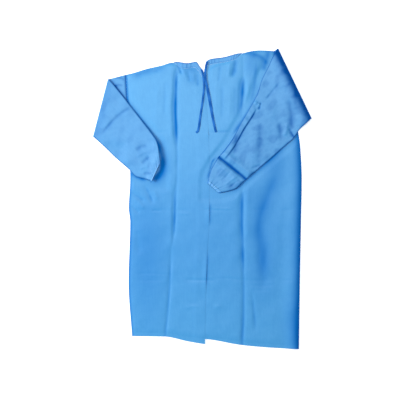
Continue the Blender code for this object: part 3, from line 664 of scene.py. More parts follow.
@dataclass(frozen=True)
class Nonwoven:
    """Spun-bond polypropylene cloth, its fibres laid at random and welded at small points.

    Fibres lie thicker in some places than in others, which clouds the blue. The weld points
    are pits in a slanting grid, which break up its soft shine. Painted shade: where a point's
    painted shade amount is high, the blue is mixed towards the shade colour and the shine fades.
    """

    name: str
    colour: str
    thick: str
    shade_colour: str
    roughness: float = 0.56
    sheen: float = 0.03
    specular: float = 0.85
    cloud_mm: float = 26.0
    streak_mm: float = 7.0
    # Real weld points are about 1.6 mm apart, drawn twice as coarse so that they show
    weld_mm: float = 3.2
    weld_depth_mm: float = 0.12
    fibre_depth_mm: float = 0.07

    def material(self) -> bpy.types.Material:
        """The cloth's material, on the piece's own map of metres along and across the cloth."""
        material = bpy.data.materials.new(self.name)
        material.use_nodes = True
        tree = material.node_tree
        shader = tree.nodes["Principled BSDF"]
        cloth = add_node(tree, "ShaderNodeUVMap", uv_map=UV_NAME).outputs["UV"]
        clouds = add_node(
            tree,
            "ShaderNodeTexNoise",
            {"Vector": cloth, "Scale": 1000 / self.cloud_mm, "Detail": 5.0, "Roughness": 0.6},
        )
        stretched = add_node(
            tree, "ShaderNodeMapping", {"Vector": cloth, "Scale": (1000 / self.streak_mm, 160 / self.streak_mm, 1.0)}
        )
        streaks = add_node(
            tree, "ShaderNodeTexNoise", {"Vector": stretched.outputs[0], "Scale": 1.0, "Detail": 3.0}
        )
        cloudy = add_node(
            tree,
            "ShaderNodeMath",
            {0: clouds.outputs[0], 1: streaks.outputs[0]},
            operation="ADD",
        )
        shown = add_node(
            tree,
            "ShaderNodeMapRange",
            {"Value": cloudy.outputs[0], "From Min": 0.78, "From Max": 1.3, "To Min": 0.0, "To Max": 1.0},
        )
        fibres = add_node(
            tree,
            "ShaderNodeMix",
            {0: shown.outputs[0], 6: linear_colour(self.colour), 7: linear_colour(self.thick)},
            data_type="RGBA",
        )
        # Painted shade: the blue is mixed towards the shade colour by each point's painted shade amount
        painted_shade = add_node(tree, "ShaderNodeAttribute", attribute_name=PAINTED_SHADE_NAME)
        colour = add_node(
            tree,
            "ShaderNodeMix",
            {0: painted_shade.outputs["Fac"], 6: fibres.outputs[2], 7: linear_colour(self.shade_colour)},
            data_type="RGBA",
        )
        slanted = add_node(
            tree, "ShaderNodeMapping", {"Vector": cloth, "Rotation": (0.0, 0.0, math.radians(45))}
        )
        welds = add_node(
            tree,
            "ShaderNodeTexVoronoi",
            {"Vector": slanted.outputs[0], "Scale": 1000 / self.weld_mm, "Randomness": 0.0},
        )
        pits = add_node(
            tree,
            "ShaderNodeMapRange",
            {"Value": welds.outputs["Distance"], "From Min": 0.12, "From Max": 0.3},
            interpolation_type="SMOOTHSTEP",
        )
        pitted = add_node(
            tree,
            "ShaderNodeBump",
            {"Height": pits.outputs[0], "Strength": 0.6, "Distance": self.weld_depth_mm * MILLIMETRE},
        )
        rough = add_node(
            tree,
            "ShaderNodeBump",
            {
                "Height": clouds.outputs[0],
                "Strength": 0.7,
                "Distance": self.fibre_depth_mm * MILLIMETRE,
                "Normal": pitted.outputs[0],
            },
        )
        # Painted shade also takes the shine away, all of it where the amount is full
        shine = add_node(
            tree,
            "ShaderNodeMapRange",
            {"Value": painted_shade.outputs["Fac"], "To Min": self.specular, "To Max": 0.0},
        )
        tree.links.new(colour.outputs[2], shader.inputs["Base Color"])
        tree.links.new(shine.outputs[0], shader.inputs["Specular IOR Level"])
        tree.links.new(rough.outputs[0], shader.inputs["Normal"])
        shader.inputs["Roughness"].default_value = self.roughness
        shader.inputs["Sheen Weight"].default_value = self.sheen
        shader.inputs["Sheen Roughness"].default_value = 0.55
        return material


@dataclass(frozen=True)
class Thread:
    """Spun polyester sewing thread: two strands twisted, a little shinier than the cloth."""

    name: str
    colour: str
    shade: str
    twist_mm: float = 1.0

    def material(self) -> bpy.types.Material:
        """The thread's material, with its twist as slanting bands."""
        material = bpy.data.materials.new(self.name)
        material.use_nodes = True
        tree = material.node_tree
        shader = tree.nodes["Principled BSDF"]
        place = add_node(tree, "ShaderNodeTexCoord").outputs["Object"]
        bands = add_node(
            tree,
            "ShaderNodeTexWave",
            {"Vector": place, "Scale": 1000 / self.twist_mm / (2 * math.pi), "Distortion": 1.0},
            bands_direction="DIAGONAL",
        )
        colour = add_node(
            tree,
            "ShaderNodeMix",
            {0: bands.outputs["Fac"], 6: linear_colour(self.shade), 7: linear_colour(self.colour)},
            data_type="RGBA",
        )
        tree.links.new(colour.outputs[2], shader.inputs["Base Color"])
        shader.inputs["Roughness"].default_value = 0.5
        shader.inputs["Specular IOR Level"].default_value = 0.2
        return material


class Finish(Enum):
    """The gown's finishes."""

    # Each shade colour is painted shade: the darker blue that creases, edges and painted shadows are mixed towards
    PANEL = Nonwoven("panel_spunbond", colour="3491C7", thick="3C97CB", shade_colour="0667B2")
    SLEEVE = Nonwoven("sleeve_spunbond", colour="348AC1", thick="3C8FC5", shade_colour="034E98")
    CUFF = Nonwoven("cuff_spunbond", colour="4897CF", thick="66AAD9", shade_colour="0564B6")
    BINDING = Nonwoven("binding_spunbond", colour="3088C2", thick="3890C8", shade_colour="034B9C")
    # The tie's blue is darker than the panels' as painted shade, for narrow ties that lie twisted and in shade
    TIE = Nonwoven("tie_spunbond", colour="0A60AE", thick="146CB8", shade_colour="02428C", specular=0.2)
    SEAM_THREAD = Thread("seam_thread", colour="1C74BE", shade="0E58A6")
    CUFF_THREAD = Thread("cuff_thread", colour="8FC4F2", shade="5FA8E6")


def grid_quads(rows: int, across: int, wrap: bool) -> Array:
    """Quads of a grid of points numbered row by row, counter-clockwise seen from above.

    Args:
        rows: rows of points.
        across: points in a row.
        wrap: whether the last column joins the first.

    Returns:
        An (n, 4) array of point numbers.
    """
    row, column = np.meshgrid(np.arange(rows - 1), np.arange(across if wrap else across - 1), indexing="ij")
    following = (column + 1) % across
    first, second = row * across + column, row * across + following
    return np.stack([first, second, second + across, first + across], axis=-1).reshape(-1, 4)


def rim_numbers(rows: int, across: int) -> Array:
    """Numbers of a grid's outermost points, once round."""
    return np.concatenate([
        np.arange(across),
        np.arange(2 * across - 1, rows * across, across),
        np.arange(rows * across - 2, (rows - 1) * across - 1, -1),
        np.arange((rows - 2) * across, 0, -across),
    ])


def signed_volume(points: Array, quads: Array) -> float:
    """Volume inside closed quads: a sixth of the sum of the triple products of both halves."""
    a, b, c, d = (points[quads[:, corner]] for corner in range(4))
    halves = (a * np.cross(b, c)).sum() + (a * np.cross(c, d)).sum()
    return float(halves) / 6.0


def arc_map(grid: Array, wrap: bool) -> Array:
    """Lengths along and across a grid of points, in metres, from its first row and column."""
    if wrap:
        grid = np.concatenate([grid, grid[:, :1]], axis=1)
    across = np.linalg.norm(np.diff(grid, axis=1), axis=2).cumsum(axis=1)
    along = np.linalg.norm(np.diff(grid, axis=0), axis=2).mean(axis=1).cumsum()
    across = np.concatenate([np.zeros((len(grid), 1)), across], axis=1)
    middle = across[:, across.shape[1] // 2:across.shape[1] // 2 + 1]
    along = np.broadcast_to(np.concatenate([[0.0], along])[:, None], across.shape)
    return np.stack([across - middle, along], axis=-1) * MILLIMETRE


@dataclass
class Piece:
    """One visible piece: its mesh from two surfaces, its finish and what it stands for."""

    name: str
    finish: Finish
    slot: str
    node: str | None = None
    thing: bpy.types.Object | None = field(default=None, init=False)

    def shell(self, outer: Array, inner: Array, painted_shade: Array, wrap: bool = False) -> "Piece":
        """Make a closed wall between two grids of points.

        Args:
            outer: (rows, across, 3) points of the side that faces out or up.
            inner: points of the other side, in the same order.
            painted_shade: how much painted shade each point takes, from 0 to 1, darker in creases.
            wrap: whether the grid closes round a tube.

        Returns:
            This piece, with its object made.
        """
        rows, across = outer.shape[:2]
        count = rows * across
        face = grid_quads(rows, across, wrap)
        flat_map = grid_quads(rows, across + 1, False) if wrap else face
        if wrap:
            ends = []
            for start in (0, count - across):
                here = start + np.arange(across)
                following = start + (np.arange(across) + 1) % across
                ends.append(np.stack([following, here, here + count, following + count], axis=-1))
            rim = np.concatenate([ends[0], ends[1][:, ::-1]])
        else:
            here = rim_numbers(rows, across)
            following = np.roll(here, -1)
            rim = np.stack([following, here, here + count, following + count], axis=-1)
        quads = np.concatenate([face, face[:, ::-1] + count, rim])
        points = np.concatenate([outer.reshape(-1, 3), inner.reshape(-1, 3)]) * MILLIMETRE
        spots = arc_map(outer, wrap).reshape(-1, 2)
        face_map = spots[flat_map]
        columns = across + 1 if wrap else across
        rim_map = spots[(rim % count) // across * columns + (rim % count) % across]
        corners = np.concatenate([face_map, face_map[:, ::-1], rim_map]).reshape(-1, 2)
        painted_shades = np.concatenate([painted_shade.reshape(-1), painted_shade.reshape(-1)])
        if signed_volume(points, quads) < 0:
            quads = quads[:, ::-1]
            corners = corners.reshape(-1, 4, 2)[:, ::-1].reshape(-1, 2)
        return self.make(points, quads, corners, painted_shades)

    def make(self, points: Array, quads: Array, corners: Array, painted_shades: Array) -> "Piece":
        """Put points in metres, quads, map places and painted shade amounts into a mesh and its object."""
        mesh = bpy.data.meshes.new(self.name)
        mesh.vertices.add(len(points))
        mesh.vertices.foreach_set("co", np.ascontiguousarray(points, dtype=np.float32).ravel())
        mesh.loops.add(quads.size)
        mesh.loops.foreach_set("vertex_index", np.ascontiguousarray(quads, dtype=np.int32).ravel())
        mesh.polygons.add(len(quads))
        mesh.polygons.foreach_set("loop_start", np.arange(0, quads.size, 4, dtype=np.int32))
        mesh.update(calc_edges=True)
        layer = mesh.uv_layers.new(name=UV_NAME)
        layer.data.foreach_set("uv", np.ascontiguousarray(corners, dtype=np.float32).ravel())
        # Painted shade: each point's amount, which the cloth's material mixes towards its shade colour
        held = mesh.attributes.new(PAINTED_SHADE_NAME, "FLOAT", "POINT")
        held.data.foreach_set("value", np.clip(painted_shades, 0.0, 1.0).astype(np.float32))
        mesh.shade_smooth()
        mesh.set_sharp_from_angle(angle=math.radians(50))
        self.thing = bpy.data.objects.new(self.name, mesh)
        bpy.context.scene.collection.objects.link(self.thing)
        return self.dress()

    def dress(self) -> "Piece":
        """Give the object its material and body, and hide the frame's node that it stands for."""
        material = bpy.data.materials.get(self.finish.value.name) or self.finish.value.material()
        self.thing.data.materials.append(material)
        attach(self.thing, "root")
        if self.node:
            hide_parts(self.node)
        log.info("%s: %d faces", self.name, len(self.thing.data.polygons))
        return self


@dataclass
class Panel:
    """A flat-cut panel between two upright edges, a hem and an upper edge."""

    name: str
    left: Callable[[Array], Array]
    right: Callable[[Array], Array]
    hem: Curve
    top: Curve
    spacing: float
    flat: tuple[float, float]
    area: float

    def grid(self) -> tuple[Array, Array]:
        """Places of the panel's points: straight blends between its four edges.

        Returns:
            Two (rows, across) arrays, of x and of y.
        """
        rows = int((self.top.values.max() - self.hem.values.min()) / self.spacing) + 1
        across = int((self.top.keys.max() - self.hem.keys.min()) / self.spacing) + 1
        up = np.linspace(0, 1, rows)[:, None]
        over = np.linspace(0, 1, across)[None, :]
        y = self.hem.values.mean() * (1 - up) + self.top.values.mean() * up + 0 * over
        for _ in range(8):
            x = self.left(y) * (1 - over) + self.right(y) * over
            y = self.hem(x[:1]) * (1 - up) + self.top(x[-1:]) * up
        return x, y

    def build(self, upper: Callable[[Array, Array], Array], under: Callable[[Array, Array], Array]) -> Piece:
        """Make the panel from the heights of its two sides."""
        x, y = self.grid()
        heights = upper(x, y)
        outer = np.stack([x, y, heights], axis=-1)
        inner = np.stack([x, y, under(x, y)], axis=-1)
        painted_shade = self.panel_painted_shade(x, y)
        piece = Piece(self.name + "_cloth", Finish.PANEL, "gown_cloth", self.name).shell(outer, inner, painted_shade)
        return piece

    @staticmethod
    def panel_painted_shade(x: Array, y: Array) -> Array:
        """Painted shade on a panel, from 0 to 1, in the back's creases, along the shade marks and at its edges."""
        creases = np.clip(-CREASE_STRENGTH * relief(BACK_CREASES, x, y) / CREASE_DEPTH, 0.0, 1.0)
        marked_shade = relief(PAINTED_SHADE_MARKS, x, y)
        # Painted shade along the side edges and armhole seams, and over the right side's roll
        away = np.minimum(x - Body.left(y), Body.right(y) - x)
        beside_armhole = np.where(x < 0, y > Body.left_underarm[1], y > Body.right_underarm[1])
        reach = np.where(beside_armhole, 6.0, 9.0)
        edges = np.where(beside_armhole, 0.9, 0.5) * np.exp(-((np.clip(away, 0.0, None) / reach) ** 2))
        right_fold = 0.95 * np.exp(-((np.clip(Body.right(y) - x, 0.0, None) / 26.0) ** 1.6))
        edges = np.maximum(edges, np.where(beside_armhole, 0.0, right_fold))
        # Painted shade below the shoulders' upper edges
        shoulders = np.where((x < -125) | (x > 172), 0.6, 0.0)
        shoulders = shoulders * np.exp(-((np.clip(Body.slack_top(x) - y, 0.0, None) / 7.0) ** 2))
        return np.maximum(creases * (1 - 0.7 * Body.pressed(x, y)), marked_shade) + np.maximum(edges, shoulders)


def front_height(x: Array, y: Array) -> Array:
    """Height of the front panel's underside: on the surface, but for low folds under the slack."""
    folds = 0.0
    for line, offset in ((Body.left_crease, 18.0), (Body.right_crease, -22.0), (Body.opening, 6.0)):
        folds = folds + 1.5 * np.exp(-(((x - line(y) - offset) / 9.0) ** 2))
    for crease_y, _ in Body.cross_creases:
        folds = folds + 0.8 * np.exp(-(((y - crease_y - 12.0) / 8.0) ** 2))
    folds = folds * np.clip(0.7 + 0.6 * unevenness(x, y, 260.0, 11), 0.0, 1.3)
    return np.minimum(folds, 0.4 * np.maximum(Body.slack(x, y) - 0.3, 0.0))


@dataclass
class Stitches:
    """A row of sewing stitches along a line on the cloth, drawn coarser than real so they show."""

    name: str
    slot: str
    finish: Finish = Finish.SEAM_THREAD
    length: float = 4.0
    pitch: float = 5.6
    radius: float = 0.4

    def build(self, line: Array) -> None:
        """Make the row: six-sided bars that taper and sink into the cloth at both ends.

        Args:
            line: (n, 3) points on the cloth's upper side.
        """
        run = np.concatenate([[0.0], np.linalg.norm(np.diff(line, axis=0), axis=1).cumsum()])
        count = int(run[-1] / self.pitch)
        share = np.linspace(0, 1, 5)
        at = (np.arange(count)[:, None] + 0.5) * self.pitch + (share - 0.5) * self.length
        centre = np.stack([np.interp(at, run, column) for column in line.T], axis=-1)
        way = centre[:, -1] - centre[:, 0]
        side = np.cross(way, (0.0, 0.0, 1.0))
        up = np.cross(side, way)
        side = (side / np.linalg.norm(side, axis=1)[:, None])[:, None, None]
        up = (up / np.linalg.norm(up, axis=1)[:, None])[:, None, None]
        turn = (np.arange(6) / 6 * 2 * np.pi)[:, None]
        round_it = np.cos(turn) * side + np.sin(turn) * up
        radius = (self.radius * np.sin(np.pi * (0.12 + 0.76 * share)))[:, None, None]
        rise = (0.7 * self.radius * np.sin(np.pi * share))[:, None, None]
        points = (centre[:, :, None] + radius * round_it + rise * up).reshape(-1, 3) * MILLIMETRE
        ends = np.array([[3, 2, 1, 0], [0, 5, 4, 3], [24, 25, 26, 27], [27, 28, 29, 24]])
        one = np.concatenate([grid_quads(5, 6, True), ends])
        quads = (one + 30 * np.arange(count)[:, None, None]).reshape(-1, 4)
        if signed_volume(points, quads) < 0:
            quads = quads[:, ::-1]
        Piece(self.name, self.finish, self.slot).make(
            points, quads, np.zeros((quads.size, 2)), np.zeros(len(points))
        )


class Panels:
    """The front and both halves of the back."""

    def __init__(self) -> None:
        """Set out the three panels on the body's outline."""
        self.front = Panel(
            "front_panel", Body.left, Body.right, Body.front_hem, Body.front_top, 6.0, (0.759, 1.284), 0.854
        )
        self.back_left = Panel(
            "back_panel_left", Body.left, Body.opening, Body.left_hem, Body.left_top, 3.6, (0.360, 1.213), 0.394
        )
        self.back_right = Panel(
            "back_panel_right", Body.under_edge, Body.right, Body.right_hem, Body.right_top, 3.9,
            (0.452, 1.288), 0.522,
        )

    def build(self) -> None:
        """Make the panels."""
        self.front.build(lambda x, y: front_height(x, y) + CLOTH, front_height)
        self.back_left.build(Body.left_panel, lambda x, y: Body.left_panel(x, y) - Body.left_cloth(x, y))
        self.back_right.build(Body.right_panel, lambda x, y: Body.right_panel(x, y) - CLOTH)
        for name, edge, inward, lowest, highest, upper in (
            ("left", Body.left, 6.5, Body.left_underarm[1], Body.left_armhole_top[1], Body.left_panel),
            ("right", Body.right, -6.5, Body.right_underarm[1], Body.right_armhole_top[1], Body.right_panel),
        ):
            y = np.linspace(lowest + 6, highest - 8, 90)
            x = edge(y) + inward
            Stitches(f"armhole_{name}_stitches", "gown_cloth").build(np.stack([x, y, upper(x, y)], axis=-1))


@dataclass
class Sleeve:
    """A sleeve: a tube of cloth, flat on the surface, turned over at its fold and laid on the back."""

    name: str
    shape: SleeveShape
    armhole: tuple[Place, Place]
    creases: tuple[Mark, ...]
    strip: bool
    flat: tuple[float, float]
    area: float
    cuff_flat: tuple[float, float]

    tube_hollow = 1.0
    edge_hollow = 0.8
    clearance = 0.8
    fold_reach = 60.0
    drop_reach = 60.0
    gathers = 14

    def __post_init__(self) -> None:
        """Work out the fold's two ends, its way out of the gown and its heights."""
        over, under = self.shape.over[0], self.shape.under[0]
        along = (under - over) / np.linalg.norm(under - over)
        out = np.array([along[1], -along[0]])
        self.out = out * np.sign(out[0] * over[0])
        self.half = self.tube_hollow / 2 + SOLID_CLOTH
        self.fold_over = over - self.out * (self.shape.radius + self.half)
        self.fold_under = under - self.out * (self.shape.radius + self.half)

    def support(self, x: Array, y: Array) -> Array:
        """Height of what the folded stretch lies on: the back, its own start, or the surface."""
        body = np.maximum(Body.surface(x, y), self.tube_hollow + 2 * SOLID_CLOTH)
        if self.shape.side > 0:
            return body
        past_body = Body.left_underarm[0] - x
        past_sleeve = Body.left_underarm[1] - y
        outside = np.clip(np.minimum(past_body, past_sleeve), 0.0, None)
        return body * (1 - ease(outside / self.drop_reach))

    def ring(self, across: int, turns: int) -> tuple[Array, Array]:
        """Places round a flat tube: share of its width and the turn from its upper side."""
        there = np.linspace(0, 1, across)
        edge = np.linspace(0, np.pi, turns + 2)[1:-1]
        share = np.concatenate([there, np.ones(turns), there[::-1], np.zeros(turns)])
        turn = np.concatenate([np.zeros(across), edge, np.full(across, np.pi), np.pi + edge])
        return share, turn

    def section(self, over: Array, under: Array, hollow: Array, ring: tuple[Array, Array], extra: Array):
        """Flat rings of the tube at many sections at once.

        The hollow rises as the root of a sine across the width, between rounded edges.

        Args:
            over: (rings, 2) places of the upper edge.
            under: (rings, 2) places of the underarm edge.
            hollow: (rings, 1) height of the hollow.
            ring: shares and turns round the tube.
            extra: (rings, around) height added for a raised strip.

        Returns:
            Places across the section and heights from its middle, for the outer and the inner
            side, and how far the hollow is open at each point.
        """
        share, turn = ring
        width = np.linalg.norm(under - over, axis=1)[:, None]
        edge = self.edge_hollow / 2 + SOLID_CLOTH
        arch = np.sqrt(np.clip(np.sin(np.pi * share), 0.0, 1.0))
        opened = self.edge_hollow + (hollow - self.edge_hollow) * arch + extra
        centre = edge + share * (width - 2 * edge)
        sides = []
        for wall in (0.0, CLOTH):
            place = centre + np.sin(turn) * (edge - wall)
            height = np.cos(turn) * (opened / 2 + SOLID_CLOTH - wall)
            sides.append((place, height))
        return sides[0], sides[1], opened

    def turned(self, angle: Array, over: Array, under: Array, place: Array, height: Array) -> Array:
        """Points of rings part of the way round the fold, at an angle of 0 to pi."""
        way = (under - over) / np.linalg.norm(under - over, axis=1)[:, None]
        radius = self.shape.radius - height
        swung = (radius * np.sin(angle))[..., None] * self.out
        spot = over[:, None] + place[..., None] * way[:, None] + swung
        z = self.half + self.shape.radius - radius * np.cos(angle)
        return np.concatenate([spot, z[..., None]], axis=-1)

    def strip_height(self, along: Array, place: Array) -> Array:
        """Height of the narrow raised strip along the upper edge, by share of the way along."""
        bumps = 1 + 0.14 * np.sin(along * 150.0) + 0.12 * np.sin(along * 61.0)
        return 3.4 * self.strip_on(along) * bumps * (1 - ease((place - self.strip_width(along) + 3.0) / 6.0))

    @staticmethod
    def strip_on(along: Array) -> Array:
        """1 where the strip is raised, with soft ends."""
        return ease((along - 0.34) / 0.03) * ease((0.66 - along) / 0.12)

    @staticmethod
    def strip_width(along: Array) -> Array:
        """Width of the strip, wider at its upper end."""
        return 24.0 + 8.0 * (1 - ease((along - 0.36) / 0.16))

    def strip_foot_shadow(self, along: Array, place: Array) -> Array:
        """Painted shadow: the dark line along the strip's foot."""
        return 0.9 * self.strip_on(along) * np.exp(-(((place - self.strip_width(along) - 2.5) / 4.0) ** 2))

    def lying(self, over: Array, under: Array, lifts: Array, side: tuple[Array, Array], opened: Array) -> Array:
        """Points of rings of the folded stretch, which lies on its support with roll and lift."""
        place, height = side
        width = np.linalg.norm(under - over, axis=1)[:, None]
        way = (under - over) / width
        spot = over[:, None] + place[..., None] * way[:, None]
        share = np.clip(place / width, 0.0, 1.0)
        from_fold = np.clip((spot - self.fold_over) @ -self.out, 0.0, None)
        blend = ease(from_fold / self.fold_reach)
        under_it = self.support(spot[..., 0], spot[..., 1]) + self.clearance
        base = 2 * self.shape.radius * (1 - blend) + under_it * blend
        far = from_fold / self.shape.roll_reach
        roll = self.shape.roll * far * np.exp(1 - far)
        lift = lifts[:, :1] * (1 - share) ** 1.5 + lifts[:, 1:] * (1 - (1 - share) ** 1.5)
        z = base + roll + lift + opened / 2 + SOLID_CLOTH - height
        return np.concatenate([spot, z[..., None]], axis=-1)

    def build(self) -> None:
        """Make the sleeve and its cuff."""
        table = self.shape.table.copy()
        table[0, 0:2], table[0, 2:4] = self.fold_over, self.fold_under
        rows = len(table)
        keys = np.arange(rows, dtype=float)
        read = [Curve(keys, column) for column in table.T]
        seam_row = rows - 2

        def sections(places: Array) -> Array:
            """Rows of the section table at places counted in rows."""
            return np.stack([column(places) for column in read], axis=-1)

        ring = self.ring(84, 6)
        outer, inner = [], []
        start = np.concatenate([np.linspace(0, 0.12, 5)[:-1], np.linspace(0.12, 1, 16)[:-1]])
        first = np.array(self.armhole[0]) * (1 - start[:, None]) + self.fold_over * start[:, None]
        second = np.array(self.armhole[1]) * (1 - start[:, None]) + self.fold_under * start[:, None]
        angles = np.linspace(0, np.pi, 13)
        over = np.concatenate([first, np.repeat(self.fold_over[None], 13, axis=0)])
        under = np.concatenate([second, np.repeat(self.fold_under[None], 13, axis=0)])
        angle = np.concatenate([np.zeros(len(start)), angles])[:, None]
        hollow = np.full((len(over), 1), self.tube_hollow)
        outside, inside, _ = self.section(over, under, hollow, ring, 0.0)
        outer.append(self.turned(angle, over, under, *outside))
        inner.append(self.turned(angle, over, under, *inside))
        sewn = self.seam_dip(outer[0])
        outer[0][..., 2] -= sewn
        inner[0][..., 2] -= sewn

        lengths = np.hypot(*np.diff((self.shape.over + self.shape.under) / 2, axis=0).T)[:seam_row]
        run = np.concatenate([[0.0], lengths.cumsum()])
        places = np.interp(np.arange(1, int(run[-1] / 3.6) + 1) / int(run[-1] / 3.6) * run[-1], run, keys[:seam_row + 1])
        values = sections(places)
        made = self.folded(values, places / (rows - 1), ring, run[-1] - np.interp(places, keys[:seam_row + 1], run))
        outer.append(made[0])
        inner.append(made[1])
        # Painted shade on the part of the fold that has turned to face up
        turn_painted_shade = self.shape.fold_shade * np.clip(-np.cos(ring[1]), 0.0, 1.0) * (angle > 1.0)
        painted_shade = np.concatenate([self.start_painted_shade(outer[0], ring[1]) + turn_painted_shade, made[2]])
        cloth = Piece(f"sleeve_{self.name}_cloth", Finish.SLEEVE, "gown_cloth", f"sleeve_{self.name}")
        cloth.shell(np.concatenate(outer), np.concatenate(inner), painted_shade, wrap=True)

        gap = 2 * SOLID_GAP / np.linalg.norm(self.shape.over[seam_row] - self.shape.over[-1])
        places = np.linspace(seam_row + gap, rows - 1, 9)
        values = sections(places)
        beyond = -(places - seam_row) * 13.0
        made = self.folded(values, places / (rows - 1), ring, beyond)
        cuff = Piece(f"cuff_{self.name}_cloth", Finish.CUFF, "cuff_cloth", f"cuff_{self.name}")
        cuff.shell(made[0], made[1], made[2], wrap=True)
        top = np.flatnonzero(np.isclose(ring[1], np.pi))[4:-4]
        Stitches(f"cuff_{self.name}_stitches", "cuff_cloth", Finish.CUFF_THREAD).build(made[0][4, top])

    def seam_dip(self, points: Array) -> Array:
        """How far the first stretch sinks towards the armhole seam, where its layers meet."""
        near = 1 - ease(self.from_seam(points) / 12.0)
        return near * np.clip(points[..., 2] - SEAM_LEVEL / 2, 0.0, None) * 0.6

    def start_painted_shade(self, points: Array, turn: Array) -> Array:
        """Painted shade along the armhole seam and painted shadow under the folded stretch, on the first stretch's
        top.
        """
        seam = np.exp(-((self.from_seam(points) / 6.0) ** 2))
        shade_from_marks = relief(PAINTED_SHADE_MARKS, points[..., 0], points[..., 1])
        return np.maximum(seam, shade_from_marks) * np.clip(np.cos(turn), 0.0, 1.0)

    def from_seam(self, points: Array) -> Array:
        """Distances from the line of the armhole seam."""
        first, second = np.array(self.armhole[0]), np.array(self.armhole[1])
        way = (second - first) / np.linalg.norm(second - first)
        offset = points[..., :2] - first
        return np.abs(offset[..., 0] * way[1] - offset[..., 1] * way[0])

    def folded(self, values: Array, along: Array, ring: tuple[Array, Array], to_seam: Array):
        """Points and painted shade of the folded stretch at rows of the section table.

        Args:
            values: (rings, 7) rows of the section table.
            along: share of the way from the fold to the cuff's end.
            ring: shares and turns round the tube.
            to_seam: distance left to the cuff's seam, negative beyond it.

        Returns:
            Outer points, inner points and painted shade amounts.
        """
        over, under, lifts, hollow = values[:, 0:2], values[:, 2:4], values[:, 4:6], values[:, 6:7]
        width = np.linalg.norm(under - over, axis=1)[:, None]
        extra = self.strip_height(along[:, None], ring[0] * width) if self.strip else 0.0
        foot = self.strip_foot_shadow(along[:, None], ring[0] * width) if self.strip else 0.0
        outside, inside, opened = self.section(over, under, hollow, ring, extra)
        outer = self.lying(over, under, lifts, outside, opened)
        inner = self.lying(over, under, lifts, inside, opened)
        upward = np.clip(-np.cos(ring[1]), 0.0, 1.0)
        from_edge = np.minimum(ring[0], 1 - ring[0]) * width
        fade = np.clip(from_edge / 6.0, 0.0, 1.0)
        marks = CREASE_STRENGTH * relief(self.creases, outer[..., 0], outer[..., 1])
        soft = 0.6 * unevenness(outer[..., 0], outer[..., 1], 75.0, 21)
        soft = soft + 0.05 * unevenness(outer[..., 0], outer[..., 1], 30.0, 22)
        raised = np.maximum((marks + soft) * fade, -opened - 0.9) * upward
        round_it = np.arange(len(ring[0])) / len(ring[0]) * 2 * np.pi
        wave = 0.5 * np.sin(self.gathers * round_it + 0.8 * np.sin(3 * round_it))
        wave = wave + 0.35 * np.sin((self.gathers - 5) * round_it + 1.3) + 0.25 * np.sin(22 * round_it + 0.4)
        reach = np.where(to_seam > 0, np.exp(-np.abs(to_seam) / 14.0), 1.0)[:, None]
        gathered = 0.75 * reach * wave * (0.4 + 0.6 * upward)
        outer[..., 2] += raised + gathered
        inner[..., 2] += raised + gathered
        # Painted shade along the tube's side edges, near the fold, in creases and gathers and at the strip's foot,
        # with random darker clouds
        edges = 0.65 * np.exp(-((from_edge / 2.5) ** 2))
        from_fold = np.clip((outer[..., :2] - self.fold_over) @ -self.out, 0.0, None)
        fold = self.shape.fold_shade * np.exp(-((from_fold / 26.0) ** 2))
        creases = np.clip(-(1.3 * marks + 1.5 * gathered) / CREASE_DEPTH, 0.0, 1.0)
        clouds = 0.23 * np.clip(unevenness(outer[..., 0], outer[..., 1], 60.0, 41, 19), 0.0, 1.0)
        clouds = clouds + 0.08 * np.clip(unevenness(outer[..., 0], outer[..., 1], 24.0, 43, 19), 0.0, 1.0)
        clouds = clouds * self.shape.mottle
        return outer, inner, (np.maximum(creases, np.maximum(foot, fold)) + clouds) * upward + edges


@dataclass
class Binding:
    """A strip folded over a neck edge and gathered a little, as (edge x, free x, free y) rows."""

    name: str
    rows: tuple[tuple[float, float, float], ...]
    edge: Curve
    surface: Callable[[Array, Array], Array]
    flat: tuple[float, float]
    gather: float = 0.45
    thick: float = 1.8
    pitch: float = 16.0
    gap: float = 0.6
    crosses_back: bool = False

    def build(self) -> None:
        """Make the strip: straight across from the panel's edge, crowned, with gathers along it."""
        table = np.array(self.rows, dtype=float)
        share = np.linspace(0, 1, 120)
        keys = np.linspace(0, 1, len(table))
        inner_x, outer_x, outer_y = (Curve(keys, column)(share)[:, None] for column in table.T)
        inner_y = self.edge(inner_x) + self.gap
        across = np.linspace(0, 1, 13)[None, :]
        x = inner_x * (1 - across) + outer_x * across
        y = inner_y * (1 - across) + outer_y * across
        run = np.concatenate([[0.0], np.hypot(np.diff(outer_x[:, 0]), np.diff(outer_y[:, 0])).cumsum()])[:, None]
        wave = np.sin(2 * np.pi * run / self.pitch + 2 * np.sin(run / 21.0))
        wave = wave + 0.6 * np.sin(2 * np.pi * run / (0.62 * self.pitch) + 1.0)
        uneven = np.clip(0.5 + 0.8 * np.sin(run / 17.0 + outer_x[0]), 0.0, 1.2)
        lift = self.gather * uneven * wave * np.sin(np.pi * (0.15 + 0.7 * across)) * 0.6
        base = self.surface(inner_x, inner_y - self.gap) - SOLID_CLOTH + self.gather * 0.5
        if self.crosses_back:
            over = (x > Body.under_edge(y) - 8) & (y < Body.right_top(x) + 8)
            floor = np.where(over, Body.right_panel(x, y) + 0.35, 0.0)
            base = np.maximum(base, floor.max(axis=1, keepdims=True))
        crown = 0.45 + 0.55 * np.sqrt(np.sin(np.pi * np.clip(across, 0.001, 0.999)))
        upper = base + lift + self.thick * crown
        lower = base + 0.6 * lift
        from_edge = np.hypot(outer_x - inner_x, outer_y - inner_y) * (1 - across)
        # Painted shade in the gathers' troughs and along the binding's outer edge
        painted_shade = np.clip(-lift / 1.2, 0.0, 1.0) + np.exp(-((from_edge / 3.0) ** 2))
        outer = np.stack([x, y, upper], axis=-1)
        inner = np.stack([x, y, lower], axis=-1)
        cloth = Piece(self.name + "_cloth", Finish.BINDING, "binding_cloth", self.name)
        cloth.shell(outer[:, ::-1], inner[:, ::-1], painted_shade[:, ::-1])
        Stitches(self.name + "_stitches", "binding_cloth").build(outer[2:-2, 2])


